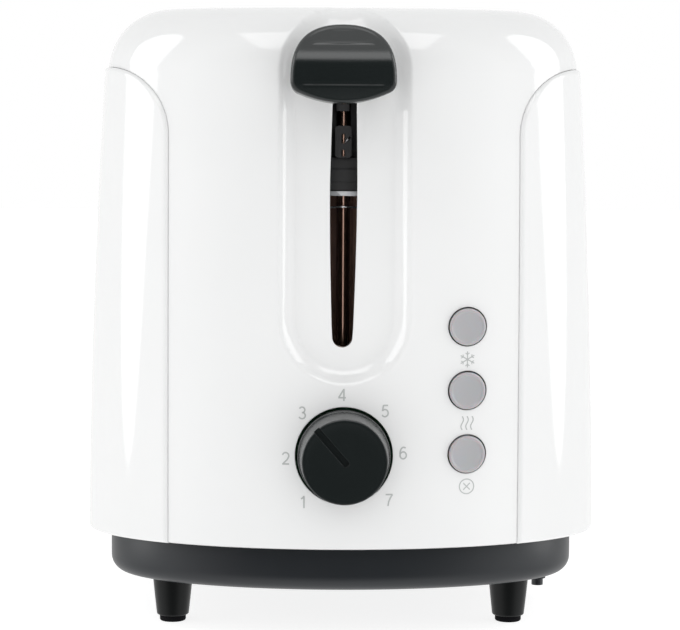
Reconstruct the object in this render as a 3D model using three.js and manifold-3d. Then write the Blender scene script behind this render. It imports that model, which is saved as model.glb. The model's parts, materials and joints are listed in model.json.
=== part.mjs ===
// Two-slice pop-up toaster, in millimetres, +Z up, with its controls on the -Y end.
// The origin is on the table, under the middle of the box that holds the whole object.
import * as THREE from "three";
import { mergeVertices } from "three/addons/utils/BufferGeometryUtils.js";
import Module from "manifold-3d";

const wasm = await Module();
wasm.setup();

// ---- Driving dimensions -------------------------------------------------------------------

// White body
const bodyLength = 272;
const bodyWidth = 165.8; // across the two side panels
const bodyTop = 200.6;
const bodyBottom = 31.2;
const endDepth = 45.6; // depth of each half-elliptical end
const draftInset = 5.6; // lean of the walls between their foot and the shoulder
const draftPower = 1.73; // how late the walls start to lean
const shoulderRadius = 20;
const crownRise = 0.6; // rise of the top from its rim to its middle
const crownInset = 32; // how far in from the rim that rise ends
const shellWall = 3;
const endSteps = 10; // facets in each quarter of the rounded ends
const wallShares = [0.3, 0.55, 0.8, 1]; // where the leaning walls turn, up to the shoulder
const shoulderSteps = 5; // facets in the rounded shoulder

// Side panels
const panelProud = 1.2; // how far a panel stands out of the body shell
const panelSeat = 1.2; // how far it sits in the shell's rebate
const panelReturn = 27.7; // how far a panel wraps round on to the front and the rear
const panelTop = 181.3;
const panelCornerRadius = 21.5;

// Base, feet and cord hooks
const baseInset = 6;
const baseBottom = 16.5;
const baseEdgeRadius = 8.5;
const baseWall = 2.5;
const baseEdgeSteps = 4;
const footInset = { x: 27.5, y: 42.7 }; // from the outside of the panels and from the ends
const footTopRadius = 6.7;
const footBottomRadius = 5.3;
const footBottom = 2;
const padRadius = 4.3;
const padStemRadius = 2;
const padStemLength = 5;
const screwHeadRadius = 3.2;
const screwRadius = 1.5;
const screwHeadHeight = 1.8;
const screwGrip = 5; // how far a screw stands into the chamber
const screwSlot = { halfLength: 2.4, halfWidth: 0.4, depth: 0.9 };
const postRadius = 4.6;
const hookRadius = 2.85;
const hookTipRadius = 2;
const hookBottom = 4.5;
const hookTipHeight = 2.4;
const hookInset = { x: 13.9, y: 80 };
const hookRoot = 1.5; // how far a hook runs up beside the base's rounded edge

// Lever channel, lever and knob
const channelHalfWidth = 20.2;
const channelDepth = 4;
const channelLift = 22.3; // the foot of the channel above the dial's axis
const channelTopMargin = 2.2;
const slotLift = 11.6; // the foot of the lever slot above the foot of the channel
const slotTopMargin = 16.6;
const slotFootHalf = 2.95;
const slotWaistHalf = 4.05;
const slotHeadHalf = 3.4;
const slotWaistBelowTop = 55;
const leverDrop = 24.6; // from the body's top to the lever arm's axis at rest
const leverStop = 3.4; // what is left of the slot under the arm at the bottom of its travel
const armHeight = 8;
const armThickness = 3;
const knobReach = 24; // how far the knob stands ahead of the body
const knobSink = 3; // how far its back reaches into the channel
const knobHalfWidth = 15.8;
const knobHalfHeight = 11.8;
const knobOffset = -1.1; // the knob's middle beside the lever arm's plane
const knobLift = 5; // the knob's middle above the lever arm's axis
const knobCorner = 2.8; // of its two lower corners, and the sag of its underside
const knobShoulder = 4; // upright part at each end of the sides' curve
const knobCrown = 0.6; // share of the half-width where the top starts to fall
const knobBevel = 2;
const knobSocketDepth = 16;
const footPlate = { halfWidth: 8, thickness: 1.5, overlap: 12 }; // the lever arm's fixing

// Dial and buttons
const dialZ = 60.7;
const dialRadius = 14.4;
const dialFaceRadius = 12.9;
const dialGap = 0.8;
const dialReach = 13.9;
const shaftRadius = 3;
const shaftBore = 10; // how deep the dial's blind bore is
const dialEdge = 0.6; // chamfer round the face
const dialSkirt = 2; // the skirt's front ahead of the body
const pointer = { halfWidth: 1, depth: 0.8, tail: 1.5, rim: 0.8, turn: -41 };
const potRadius = 8.5;
const potLength = 8;
const potFloor = 3; // what is left behind the shaft's end
const buttonInset = 16.7; // from the panels' seam to the buttons' axis
const buttonPitch = 19.9;
const buttonRadius = 5.75;
const buttonGap = 0.4;
const buttonProud = 1.8;
const buttonFlange = 1.3;
const buttonFlangeThickness = 1;
const buttonTravel = 1.5;
const buttonRoot = 5; // how far a button's blank runs ahead of the body
const switchHalf = 3;
const switchLeast = 1.5; // length of the shortest switch

// Toasting chamber and its frame
const frontBay = 52; // room between the end of the body and the chamber, at both ends
const chamberInset = 24.6; // from the outside of the panels to the chamber's side shields
const sheet = 1;
const chamberBottom = 31.5;
const chamberTopMargin = 13.6;
const slotWidth = 30;
const slotEndMargin = 9; // from the chamber's end plate to the end of a bread slot
const slotCornerRadius = 4;
const heaterThickness = 0.8;
const heaterInset = 8; // from the side shield to the outer heater
const wireRadius = 1.1; // of a bread guide's two long wires
const crossWireRadius = 0.8;
const guideSpread = 14.5; // from the middle of a bread slot to each guide
const guideWires = 7;
const guidePivotZ = 44;
const lifterDrop = 74.6; // from the body's top to the bread rest
const lifterHeight = 8;
const lifterHalfWidth = 8;
const lifterBed = 1.2; // its thickness
const lifterWeb = 0.6; // half the thickness of the web below it
const lifterBedMargin = 4; // from a bread slot's end to the bed's end
const windowHalf = 1.6; // of the end plates' slots for the lifters
const windowMargin = 2;
const heaterTopMargin = 5;
const guideTopMargin = 6;
const guideEndMargin = 3;
const guideReach = 1.5; // how far a guide's pivot stands out of the end plates
const tabHalfWidth = 8;

// Carriage, spring and latch
const rodRadius = 2.2;
const rodForward = 20; // the guide rod ahead of the chamber's end plate
const carriageHalfWidth = 17;
const carriageHalfDepth = 5;
const carriageHeight = 28;
const carriageDrop = 58.6; // from the body's top to the carriage's underside
const carriageLegHalfWidth = 4;
const crossbarHeight = 8;
const crossbarDepth = 3;
const legThickness = 2;
const tongueHeight = 3;
const hookBase = 8; // the spring hook above the carriage's underside
const hookHeight = 3;
const springRadius = 3;
const springX = 22.5;
const magnetX = 26;
const magnetRadius = 7.5;
const magnetRoom = 0.7; // between the board and the magnet
const magnetCoreRadius = 4;
const magnetHeight = 28;
const yokeHeight = 3;
const latchHalfWidth = 8;
const latchHalfDepth = 5;
const latchThickness = 1.5;
const boardBack = 18; // the control board's face behind the body's front
const boardThickness = 1.6;
const boardMargin = 8; // of the board's tower, beside the buttons' axis
const bracketSheet = 1.2;
const bracketLug = 6;
const bracketFlange = 5;

// Rear
const glandZ = 46;
const glandRadius = 5.2;
const glandBore = 3.7;
const glandFlangeRadius = 8;
const glandReach = 2;
const glandTail = 4; // how far the gland runs on behind the shell's wall
const trayHalfWidth = 46;
const trayLipHalfWidth = 18;
const trayRim = 5;
const trayWall = 0.8;
const trayHandle = 12; // the handle's inner face behind the chamber
const trayLip = 3;
const trayMouth = 2; // from the tray's opening up to the base's rim
const terminal = { depth: 10, height: 12, lift: 3, bore: 2, pitch: 7, inset: 8 };
const insulation = { front: 1.9, margin: 6 };

// Clearances
const gap = 0.3; // between fixed pieces that seat on each other
const runningGap = 0.1; // between the rod and the carriage's bush, and in the other bearings
const over = 1; // how far a cutter runs past what it cuts, or a piece into its neighbour

// ---- Places worked out from them ----------------------------------------------------------

const front = -bodyLength / 2;
const rear = bodyLength / 2;
const shellHalfWidth = bodyWidth / 2 - panelProud;
const shoulderZ = bodyTop - crownRise - shoulderRadius;
const seamX = bodyWidth / 2 - panelReturn;
const buttonX = seamX - buttonInset;
const baseTop = bodyBottom - gap;
const floorTop = baseBottom + baseWall;
const footX = bodyWidth / 2 - footInset.x;
const footY = bodyLength / 2 - footInset.y;
const channelBottom = dialZ + channelLift;
const channelTop = bodyTop - channelTopMargin;
const slotBottom = channelBottom + slotLift;
const slotTop = bodyTop - slotTopMargin;
const armZ = bodyTop - leverDrop;
const leverTravel = armZ - armHeight / 2 - leverStop - slotBottom;
const chamberEnd = bodyLength / 2 - frontBay; // outer faces of the two end plates
const chamberSide = bodyWidth / 2 - chamberInset;
const chamberTop = bodyTop - chamberTopMargin;
const outerHeaterX = chamberSide - heaterInset;
const slotX = outerHeaterX / 2;
const slotHalfLength = chamberEnd - slotEndMargin;
const lifterTop = bodyTop - lifterDrop;
const lifterLow = lifterTop - leverTravel;
const rodY = -chamberEnd - rodForward;
const rodBottom = chamberBottom + 1.5;
const carriageBottom = bodyTop - carriageDrop;
const carriageTop = carriageBottom + carriageHeight;
const carriageBack = rodY + carriageHalfDepth;
const flangeRadius = buttonRadius + buttonGap + buttonFlange;
const deepestSwitch = switchFace(dialZ + 2 * buttonPitch) + switchLeast + gap;
const boardY = Math.max(front + boardBack, deepestSwitch);
const boardRear = boardY + boardThickness;
const postX = chamberSide - postRadius - screwRadius;
const postY = chamberEnd - postRadius;
const latchTop = carriageBottom - gap;
const latchBottom = latchTop - latchThickness;
const magnetTop = latchBottom - leverTravel - gap;
const magnetY = boardRear + magnetRoom + magnetRadius;
const magnetBottom = magnetTop - magnetHeight;
const hookTop = carriageBottom + hookBase + hookHeight;
const lifterBottom = lifterTop - lifterHeight;
const headTabTop = chamberTop - 2;

// ---- Solids -------------------------------------------------------------------------------

// A solid from a closed three.js geometry.
function solid(geometry) {
  geometry.deleteAttribute("normal");
  geometry.deleteAttribute("uv");
  const merged = mergeVertices(geometry, 1e-3);
  const mesh = new wasm.Mesh({
    numProp: 3,
    vertProperties: merged.getAttribute("position").array,
    triVerts: new Uint32Array(merged.index.array),
  });
  return new wasm.Manifold(mesh);
}

function block([x0, x1], [y0, y1], [z0, z1]) {
  const geometry = new THREE.BoxGeometry(x1 - x0, y1 - y0, z1 - z0);
  geometry.translate((x0 + x1) / 2, (y0 + y1) / 2, (z0 + z1) / 2);
  return solid(geometry);
}

// A round bar from one point to another, which tapers where its end has a radius of its own.
function bar(radius, start, end, { endRadius = radius, facets = 16 } = {}) {
  const from = new THREE.Vector3(...start);
  const along = new THREE.Vector3(...end).sub(from);
  const geometry = new THREE.CylinderGeometry(endRadius, radius, along.length(), facets);
  geometry.translate(0, along.length() / 2, 0);
  const turn = new THREE.Quaternion();
  turn.setFromUnitVectors(new THREE.Vector3(0, 1, 0), along.normalize());
  geometry.applyQuaternion(turn);
  geometry.translate(from.x, from.y, from.z);
  return solid(geometry);
}

// An outline drawn in X and Z, extruded along Y.
function extrudeY(shape, [y0, y1], { bevel = 0, steps = 8 } = {}) {
  const geometry = new THREE.ExtrudeGeometry(shape, {
    depth: y1 - y0 - 2 * bevel,
    bevelEnabled: bevel > 0,
    bevelSize: bevel,
    bevelOffset: -bevel,
    bevelThickness: bevel,
    bevelSegments: 2,
    curveSegments: steps,
  });
  geometry.rotateX(Math.PI / 2);
  geometry.translate(0, y1 - bevel, 0);
  return solid(geometry);
}

// An outline drawn in X and Y, extruded along Z.
function extrudeZ(shape, [z0, z1], steps = 4) {
  const options = { depth: z1 - z0, bevelEnabled: false, curveSegments: steps };
  const geometry = new THREE.ExtrudeGeometry(shape, options);
  geometry.translate(0, 0, z0);
  return solid(geometry);
}

// A profile of [radius, y] turned about an axis along Y that passes through x and z.
function turned(profile, x, z, facets) {
  const points = profile.map(([radius, y]) => new THREE.Vector2(radius, y));
  const geometry = new THREE.LatheGeometry(points, facets);
  geometry.translate(x, 0, z);
  return solid(geometry);
}

function joined(solids) {
  return solids.reduce((whole, piece) => whole.add(piece));
}

function cut(whole, cutters) {
  return cutters.reduce((left, cutter) => left.subtract(cutter), whole);
}

function roundedRectangle([x0, x1], [y0, y1], radius) {
  const shape = new THREE.Shape();
  shape.absarc(x1 - radius, y0 + radius, radius, -Math.PI / 2, 0);
  shape.absarc(x1 - radius, y1 - radius, radius, 0, Math.PI / 2);
  shape.absarc(x0 + radius, y1 - radius, radius, Math.PI / 2, Math.PI);
  shape.absarc(x0 + radius, y0 + radius, radius, Math.PI, 1.5 * Math.PI);
  return shape;
}

// A closed outline with a half-round foot and head.
function stadium(halfWidth, bottom, top) {
  const shape = new THREE.Shape();
  shape.absarc(0, bottom + halfWidth, halfWidth, Math.PI, 2 * Math.PI);
  shape.absarc(0, top - halfWidth, halfWidth, 0, Math.PI);
  return shape;
}

// The plan of the body: straight sides between two half-ellipses, moved in by an inset.
function planOutline(inset) {
  const halfWidth = shellHalfWidth - inset;
  const straight = bodyLength / 2 - endDepth;
  const depth = endDepth - inset;
  const shape = new THREE.Shape();
  shape.absellipse(0, straight, halfWidth, depth, 0, Math.PI);
  shape.absellipse(0, -straight, halfWidth, depth, Math.PI, 2 * Math.PI);
  const points = shape.getPoints(endSteps);
  if (points[0].distanceTo(points.at(-1)) < gap) points.pop();
  return points;
}

// A closed solid through a stack of plans, each with its height and its inset.
function loft(levels) {
  const rings = levels.map(({ z, inset }) => planOutline(inset).map(({ x, y }) => [x, y, z]));
  const count = rings[0].length;
  const positions = [...rings.flat(), [0, 0, levels[0].z], [0, 0, levels.at(-1).z]];
  const foot = rings.length * count;
  const head = foot + 1;
  const triangles = [];
  for (let i = 0; i < count; i++) {
    const next = (i + 1) % count;
    for (let row = 0; row < rings.length - 1; row++) {
      const low = row * count;
      const high = low + count;
      triangles.push(low + i, low + next, high + next, low + i, high + next, high + i);
    }
    const top = (rings.length - 1) * count;
    triangles.push(foot, next, i, head, top + i, top + next);
  }
  const geometry = new THREE.BufferGeometry();
  geometry.setAttribute("position", new THREE.Float32BufferAttribute(positions.flat(), 3));
  geometry.setIndex(triangles);
  return solid(geometry);
}

function draftAt(z) {
  const rise = Math.max(0, z - bodyBottom) / (shoulderZ - bodyBottom);
  return draftInset * rise ** draftPower;
}

// The body's outer surface moved in by an inset, as a solid that starts at a given height.
function bodySolid(inset, bottom = bodyBottom) {
  const levels = [{ z: bottom, inset: draftAt(bottom) + inset }];
  for (const share of wallShares) {
    const z = bodyBottom + share * (shoulderZ - bodyBottom);
    levels.push({ z, inset: draftAt(z) + inset });
  }
  const radius = shoulderRadius - inset;
  for (let step = 1; step <= shoulderSteps; step++) {
    const angle = (step / shoulderSteps) * (Math.PI / 2);
    const sideways = shoulderRadius - radius * Math.cos(angle);
    levels.push({ z: shoulderZ + radius * Math.sin(angle), inset: draftInset + sideways });
  }
  levels.push({ z: bodyTop - inset, inset: draftInset + crownInset });
  return loft(levels);
}

// Y of the front, or of a surface inside it, at a given place.
function frontSurface(x, z, behind) {
  const inset = draftAt(z) + behind;
  const halfWidth = shellHalfWidth - inset;
  const depth = endDepth - inset;
  return front + endDepth - depth * Math.sqrt(1 - (x / halfWidth) ** 2);
}

// Y of the face of a button's flange, which seats behind the shell's wall.
function flangeFace(z) {
  return frontSurface(buttonX + flangeRadius, z + flangeRadius, shellWall) + gap;
}

function switchFace(z) {
  return flangeFace(z) + buttonFlangeThickness + buttonTravel + gap;
}

// ---- Scene graph --------------------------------------------------------------------------

const toaster = new THREE.Group();
toaster.name = "toaster";
toaster.position.y = (knobReach - glandReach) / 2;

function finish(color, roughness, metalness = 0) {
  return { color, roughness, metalness };
}

const white = finish(0xf3f3f1, 0.16);
const charcoal = finish(0x32363a, 0.5);
const knobGrey = finish(0x2b2e31, 0.3);
const buttonGrey = finish(0xb6b9bf, 0.3);
const rubber = finish(0x161616, 0.9);
const steel = finish(0xb9bbbd, 0.35, 1);
const galvanised = finish(0x9da1a4, 0.45, 1);
const mica = finish(0xb8a88a, 0.8);
const phenolic = finish(0x3c2820, 0.7);
const copper = finish(0xa65a35, 0.4, 1);
const boardGreen = finish(0x2f5a3a, 0.6);
const black = finish(0x1b1c1e, 0.55);

function add(name, piece, look) {
  const { vertProperties, triVerts } = piece.getMesh();
  const geometry = new THREE.BufferGeometry();
  geometry.setAttribute("position", new THREE.BufferAttribute(vertProperties, 3));
  geometry.setIndex(new THREE.BufferAttribute(triVerts, 1));
  const flat = geometry.toNonIndexed();
  flat.computeVertexNormals();
  const mesh = new THREE.Mesh(flat, new THREE.MeshStandardMaterial(look));
  mesh.name = name;
  toaster.add(mesh);
}

const sides = [
  ["left", -1],
  ["right", 1],
];
const ends = [
  ["front", -1],
  ["rear", 1],
];

// ---- Housing ------------------------------------------------------------------------------

// The region that one side panel covers, seen from the front, grown by a clearance.
function panelRegion(side, clearance = 0) {
  const inner = seamX - clearance;
  const top = panelTop + clearance;
  const radius = panelCornerRadius + clearance;
  const outside = bodyWidth;
  const shape = new THREE.Shape();
  shape.moveTo(outside, bodyBottom - shellWall);
  shape.lineTo(outside, top);
  shape.absarc(inner + radius, top - radius, radius, Math.PI / 2, Math.PI);
  shape.lineTo(inner, bodyBottom - shellWall);
  const region = extrudeY(shape, [-bodyLength, bodyLength]);
  return side > 0 ? region : region.mirror([1, 0, 0]);
}

function leverSlotShape() {
  const waistZ = bodyTop - slotWaistBelowTop;
  const shape = new THREE.Shape();
  shape.absarc(0, slotBottom + slotFootHalf, slotFootHalf, Math.PI, 2 * Math.PI);
  shape.lineTo(slotWaistHalf, waistZ);
  shape.lineTo(slotHeadHalf, slotTop);
  shape.lineTo(-slotHeadHalf, slotTop);
  shape.lineTo(-slotWaistHalf, waistZ);
  return shape;
}

function breadSlot(side, zRange, clearance = 0) {
  const half = slotWidth / 2 - clearance;
  const long = slotHalfLength - clearance;
  const x = side * slotX;
  const radius = slotCornerRadius - clearance;
  return extrudeZ(roundedRectangle([x - half, x + half], [-long, long], radius), zRange);
}

// The lever channel's prism, grown by a clearance. It ends where the shoulder turns into the top.
function channelPrism(clearance) {
  const shape = stadium(
    channelHalfWidth + clearance,
    channelBottom - clearance,
    channelTop + clearance,
  );
  const back = front + draftInset + shoulderRadius + clearance;
  return extrudeY(shape, [front - shellWall, back], { steps: 10 });
}

function buttonPlaces() {
  return ["cancel", "reheat", "defrost"].map((name, i) => [name, dialZ + i * buttonPitch]);
}

function buildShell() {
  const channel = channelPrism(0).subtract(bodySolid(channelDepth, bodyBottom - over));
  const channelBack = channelPrism(shellWall);
  const cavity = bodySolid(shellWall, bodyBottom - over).subtract(
    channelBack.subtract(bodySolid(channelDepth + shellWall, bodyBottom - 2 * over)),
  );
  const cutters = [cavity, channel, extrudeY(leverSlotShape(), [front - over, rodY])];
  for (const [, side] of sides) {
    const seat = bodySolid(panelSeat + gap, bodyBottom - over);
    cutters.push(panelRegion(side, gap).subtract(seat));
    cutters.push(breadSlot(side, [chamberTop, bodyTop + over]));
  }
  const dialHole = dialRadius + dialGap;
  cutters.push(bar(dialHole, [0, front - over, dialZ], [0, boardY, dialZ], { facets: 40 }));
  for (const [, z] of buttonPlaces()) {
    const radius = buttonRadius + buttonGap;
    cutters.push(bar(radius, [buttonX, front - over, z], [buttonX, boardY, z], { facets: 24 }));
  }
  const glandHole = [0, rear - shellWall * 2, glandZ];
  cutters.push(bar(glandRadius + gap, glandHole, [0, rear + over, glandZ]));
  add("body_shell", cut(bodySolid(0), cutters), white);
}

function buildSidePanels() {
  const skin = bodySolid(-panelProud).subtract(bodySolid(panelSeat, bodyBottom - over));
  for (const [name, side] of sides) {
    add(name + "_side_panel", skin.intersect(panelRegion(side)), white);
  }
}

// The base's outside moved in by an inset, from a given height up to its rim.
function baseSolid(inset, bottom, top) {
  const radius = baseEdgeRadius - inset;
  const levels = [];
  for (let step = 0; step <= baseEdgeSteps; step++) {
    const angle = (step / baseEdgeSteps) * (Math.PI / 2);
    levels.push({
      z: baseBottom + baseEdgeRadius - radius * Math.cos(angle),
      inset: baseInset + baseEdgeRadius - radius * Math.sin(angle),
    });
  }
  levels[0].z = bottom;
  levels.push({ z: top, inset: baseInset + inset });
  return loft(levels);
}

function corners(x, y) {
  return ends.flatMap(([endName, end]) =>
    sides.map(([sideName, side]) => [endName + "_" + sideName, side * x, end * y]),
  );
}

// The drawer's way through the base, with its clearance.
function trayTunnel(clearance) {
  const half = trayHalfWidth + clearance;
  return block([-half, half], [-postY, rear], [floorTop, baseTop - trayMouth + clearance]);
}

function buildBase() {
  const shell = baseSolid(0, baseBottom, baseTop).subtract(
    baseSolid(baseWall, floorTop, baseTop + over),
  );
  const posts = corners(postX, postY).map(([, x, y]) =>
    bar(postRadius, [x, y, baseBottom + over], [x, y, chamberBottom - gap]),
  );
  const rearWall = block([-bodyWidth, bodyWidth], [chamberEnd, rear], [floorTop, bodyTop]);
  const cutters = [trayTunnel(gap).intersect(rearWall)];
  const headSeat = baseBottom + screwHeadHeight + gap;
  for (const [, x, y] of corners(postX, postY)) {
    cutters.push(bar(screwHeadRadius + gap, [x, y, 0], [x, y, headSeat]));
    cutters.push(bar(screwRadius + gap, [x, y, 0], [x, y, bodyTop]));
  }
  add("base", cut(joined([shell, ...posts]), cutters), charcoal);
}

function buildScrews() {
  for (const [place, x, y] of corners(postX, postY)) {
    const head = bar(screwHeadRadius, [x, y, baseBottom], [x, y, baseBottom + screwHeadHeight]);
    const tip = [x, y, chamberBottom + screwGrip];
    const shank = bar(screwRadius, [x, y, baseBottom + over], tip);
    const drive = block(
      [x - screwSlot.halfLength, x + screwSlot.halfLength],
      [y - screwSlot.halfWidth, y + screwSlot.halfWidth],
      [0, baseBottom + screwSlot.depth],
    );
    add(place + "_base_screw", head.add(shank).subtract(drive), steel);
  }
}

function buildFeet() {
  const footTop = baseBottom - gap;
  for (const [place, x, y] of corners(footX, footY)) {
    const foot = bar(footBottomRadius, [x, y, footBottom], [x, y, footTop], {
      endRadius: footTopRadius,
      facets: 24,
    });
    const stemHole = bar(padStemRadius + gap, [x, y, 0], [x, y, footBottom + padStemLength]);
    add(place + "_foot", foot.subtract(stemHole), charcoal);
    const sole = bar(padRadius, [x, y, 0], [x, y, footBottom - gap], { facets: 24 });
    const stemTop = footBottom + padStemLength - gap;
    add(place + "_pad", sole.add(bar(padStemRadius, [x, y, over], [x, y, stemTop])), rubber);
  }
}

// Two short hooks under the base, set diagonally, that the wound mains lead tucks behind.
function buildCordHooks() {
  const top = baseBottom + hookRoot;
  for (const [name, side, end] of [
    ["right", 1, -1],
    ["left", -1, 1],
  ]) {
    const x = side * (bodyWidth / 2 - hookInset.x);
    const y = end * (bodyLength / 2 - hookInset.y);
    const shoulder = hookBottom + hookTipHeight;
    const hook = bar(hookRadius, [x, y, shoulder], [x, y, top]).add(
      bar(hookTipRadius, [x, y, hookBottom], [x, y, shoulder + over]),
    );
    const clearOfBase = baseSolid(-gap, baseBottom - gap, baseTop);
    add(name + "_cord_hook", hook.subtract(clearOfBase), charcoal);
  }
}

function buildCrumbTray() {
  const bottom = floorTop + gap;
  const rim = bottom + trayRim;
  const handleTop = baseTop - trayMouth;
  const handleFront = chamberEnd + trayHandle;
  const outer = [-trayHalfWidth, trayHalfWidth];
  const inner = [-trayHalfWidth + trayWall, trayHalfWidth - trayWall];
  const panFront = -postY + gap;
  const pan = block(outer, [panFront, handleFront + 2 * over], [bottom, rim]).subtract(
    block(inner, [panFront + trayWall, handleFront], [bottom + trayWall, rim + over]),
  );
  const handle = block(outer, [handleFront, rear], [bottom, handleTop]).intersect(
    baseSolid(0, baseBottom, baseTop),
  );
  const lip = block(
    [-trayLipHalfWidth, trayLipHalfWidth],
    [handleFront, rear],
    [bottom, bottom + trayLip],
  );
  add("crumb_tray", joined([pan, handle, lip]), charcoal);
}

function buildCordGland() {
  const outside = rear + glandReach;
  const inside = rear - shellWall - glandTail;
  const at = (y) => [0, y, glandZ];
  const sleeve = bar(glandRadius, at(inside), at(outside), { facets: 24 });
  const flange = bar(glandFlangeRadius, at(rear - over), at(outside), { facets: 24 });
  const bore = bar(glandBore, at(inside - over), at(outside + over));
  const outerRing = flange.subtract(bodySolid(-gap, bodyBottom - over));
  add("cord_gland", sleeve.add(outerRing).subtract(bore), black);
}

// ---- Controls -----------------------------------------------------------------------------

function buildDial() {
  const face = front - dialReach;
  const back = front + over;
  const skirt = front - dialSkirt;
  const profile = [
    [0, face],
    [dialFaceRadius - dialEdge, face],
    [dialFaceRadius, face + dialEdge],
    [dialRadius - dialEdge, skirt],
    [dialRadius, skirt + dialEdge],
    [dialRadius, back],
    [0, back],
  ];
  const bore = bar(shaftRadius + gap, [0, back - shaftBore, dialZ], [0, back + over, dialZ]);
  const groove = block(
    [-pointer.halfWidth, pointer.halfWidth],
    [face - over, face + pointer.depth],
    [-pointer.tail, dialFaceRadius - pointer.rim],
  )
    .rotate([0, pointer.turn, 0])
    .translate([0, 0, dialZ]);
  add("browning_dial", turned(profile, 0, dialZ, 40).subtract(bore).subtract(groove), knobGrey);
}

function buildDialDrive() {
  const at = (y) => [0, y, dialZ];
  const bodyFront = boardY - potLength;
  const shaftEnd = boardY - potFloor;
  const shaftTip = front + over - shaftBore + gap;
  add("dial_shaft", bar(shaftRadius, at(shaftTip), at(shaftEnd)), steel);
  const body = bar(potRadius, at(bodyFront), at(boardY - gap), { facets: 24 });
  const bore = bar(shaftRadius + runningGap, at(bodyFront - over), at(shaftEnd + gap));
  add("browning_potentiometer", body.subtract(bore), galvanised);
}

function buildButtons() {
  const faceLimit = bodySolid(-buttonProud, bodyBottom - over);
  for (const [name, z] of buttonPlaces()) {
    const at = (y) => [buttonX, y, z];
    const back = flangeFace(z) + buttonFlangeThickness;
    const stem = bar(buttonRadius, at(front - buttonRoot), at(back), { facets: 24 });
    const flange = bar(flangeRadius, at(flangeFace(z)), at(back), { facets: 24 });
    add(name + "_button", stem.intersect(faceLimit).add(flange), buttonGrey);
    const body = block(
      [buttonX - switchHalf, buttonX + switchHalf],
      [switchFace(z), boardY - gap],
      [z - switchHalf, z + switchHalf],
    );
    add(name + "_switch", body, black);
  }
}

function buildKnob() {
  const z = armZ + knobLift;
  const low = z - knobHalfHeight;
  const top = z + knobHalfHeight;
  const cornerZ = low + knobCorner;
  const sideZ = cornerZ + knobShoulder;
  const blendZ = cornerZ + knobBevel / 2;
  const [left, right] = [knobOffset - knobHalfWidth, knobOffset + knobHalfWidth];
  const crown = knobHalfWidth * knobCrown;
  const shape = new THREE.Shape();
  shape.moveTo(left + knobCorner, cornerZ);
  shape.quadraticCurveTo(knobOffset, low - knobCorner, right - knobCorner, cornerZ);
  shape.quadraticCurveTo(right, blendZ, right, sideZ);
  shape.bezierCurveTo(right, top - knobShoulder, knobOffset + crown, top, knobOffset, top);
  shape.bezierCurveTo(knobOffset - crown, top, left, top - knobShoulder, left, sideZ);
  shape.quadraticCurveTo(left, blendZ, left + knobCorner, cornerZ);
  const back = front + knobSink;
  const knob = extrudeY(shape, [front - knobReach, back], { bevel: knobBevel, steps: 7 });
  const halfSocket = armThickness / 2 + gap;
  const socket = block(
    [-halfSocket, halfSocket],
    [back - knobSocketDepth, back + over],
    [armZ - armHeight / 2 - gap, armZ + armHeight / 2 + gap],
  );
  add("lever_knob", knob.subtract(socket), knobGrey);
}

// ---- Carriage and latch -------------------------------------------------------------------

function buildCarriage() {
  const half = carriageHalfWidth;
  const body = block(
    [-half, half],
    [rodY - carriageHalfDepth, carriageBack],
    [carriageBottom, carriageTop],
  );
  const barHalf = slotX + carriageLegHalfWidth;
  const crossbar = block(
    [-barHalf, barHalf],
    [carriageBack - over, carriageBack + crossbarDepth],
    [carriageBottom, carriageBottom + crossbarHeight],
  );
  const legs = sides.map(([, side]) => {
    const x = side * slotX;
    return block(
      [x - carriageLegHalfWidth, x + carriageLegHalfWidth],
      [carriageBack, carriageBack + legThickness],
      [lifterBottom, carriageBottom + 2 * over],
    );
  });
  const tongue = block(
    [-magnetX - latchHalfWidth, -half + over],
    [magnetY - latchHalfDepth, magnetY + latchHalfDepth],
    [carriageBottom, carriageBottom + tongueHeight],
  );
  const springHook = block(
    [half - over, springX + springRadius],
    [rodY - springRadius, rodY + springRadius],
    [carriageBottom + hookBase, hookTop],
  );
  const bore = bar(rodRadius + runningGap, [0, rodY, 0], [0, rodY, bodyTop]);
  const whole = joined([body, crossbar, tongue, springHook, ...legs]);
  add("carriage", whole.subtract(bore), galvanised);
}

function buildLeverArm() {
  const back = rodY - carriageHalfDepth - gap;
  const tip = front + knobSink - knobSocketDepth + gap;
  const half = armThickness / 2;
  const blade = block([-half, half], [tip, back], [armZ - armHeight / 2, armZ + armHeight / 2]);
  const foot = block(
    [-footPlate.halfWidth, footPlate.halfWidth],
    [back - footPlate.thickness, back],
    [carriageTop - footPlate.overlap, armZ + armHeight / 2],
  );
  add("lever_arm", blade.add(foot), black);
}

function buildSpringAndRod() {
  add("guide_rod", bar(rodRadius, [0, rodY, rodBottom], [0, rodY, chamberTop - gap]), steel);
  const springBottom = hookTop + gap;
  const springTop = headTabTop - sheet - gap;
  const spring = bar(springRadius, [springX, rodY, springBottom], [springX, rodY, springTop]);
  add("return_spring", spring, steel);
}

function buildLatch() {
  const plate = block(
    [-magnetX - latchHalfWidth, -magnetX + latchHalfWidth],
    [magnetY - latchHalfDepth, magnetY + latchHalfDepth],
    [latchBottom, latchTop],
  );
  add("latch_plate", plate, steel);
  const at = (z) => [-magnetX, magnetY, z];
  const yokeTop = magnetBottom + yokeHeight;
  const yoke = bar(magnetRadius, at(magnetBottom), at(yokeTop), { facets: 24 });
  const core = bar(magnetCoreRadius, at(magnetBottom + over), at(magnetTop));
  add("electromagnet_core", yoke.add(core), galvanised);
  const coil = bar(magnetRadius, at(yokeTop + gap), at(magnetTop - yokeHeight), { facets: 24 });
  const coilBore = bar(magnetCoreRadius + gap, at(magnetBottom), at(magnetTop + over));
  add("electromagnet_coil", coil.subtract(coilBore), copper);
}

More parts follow.
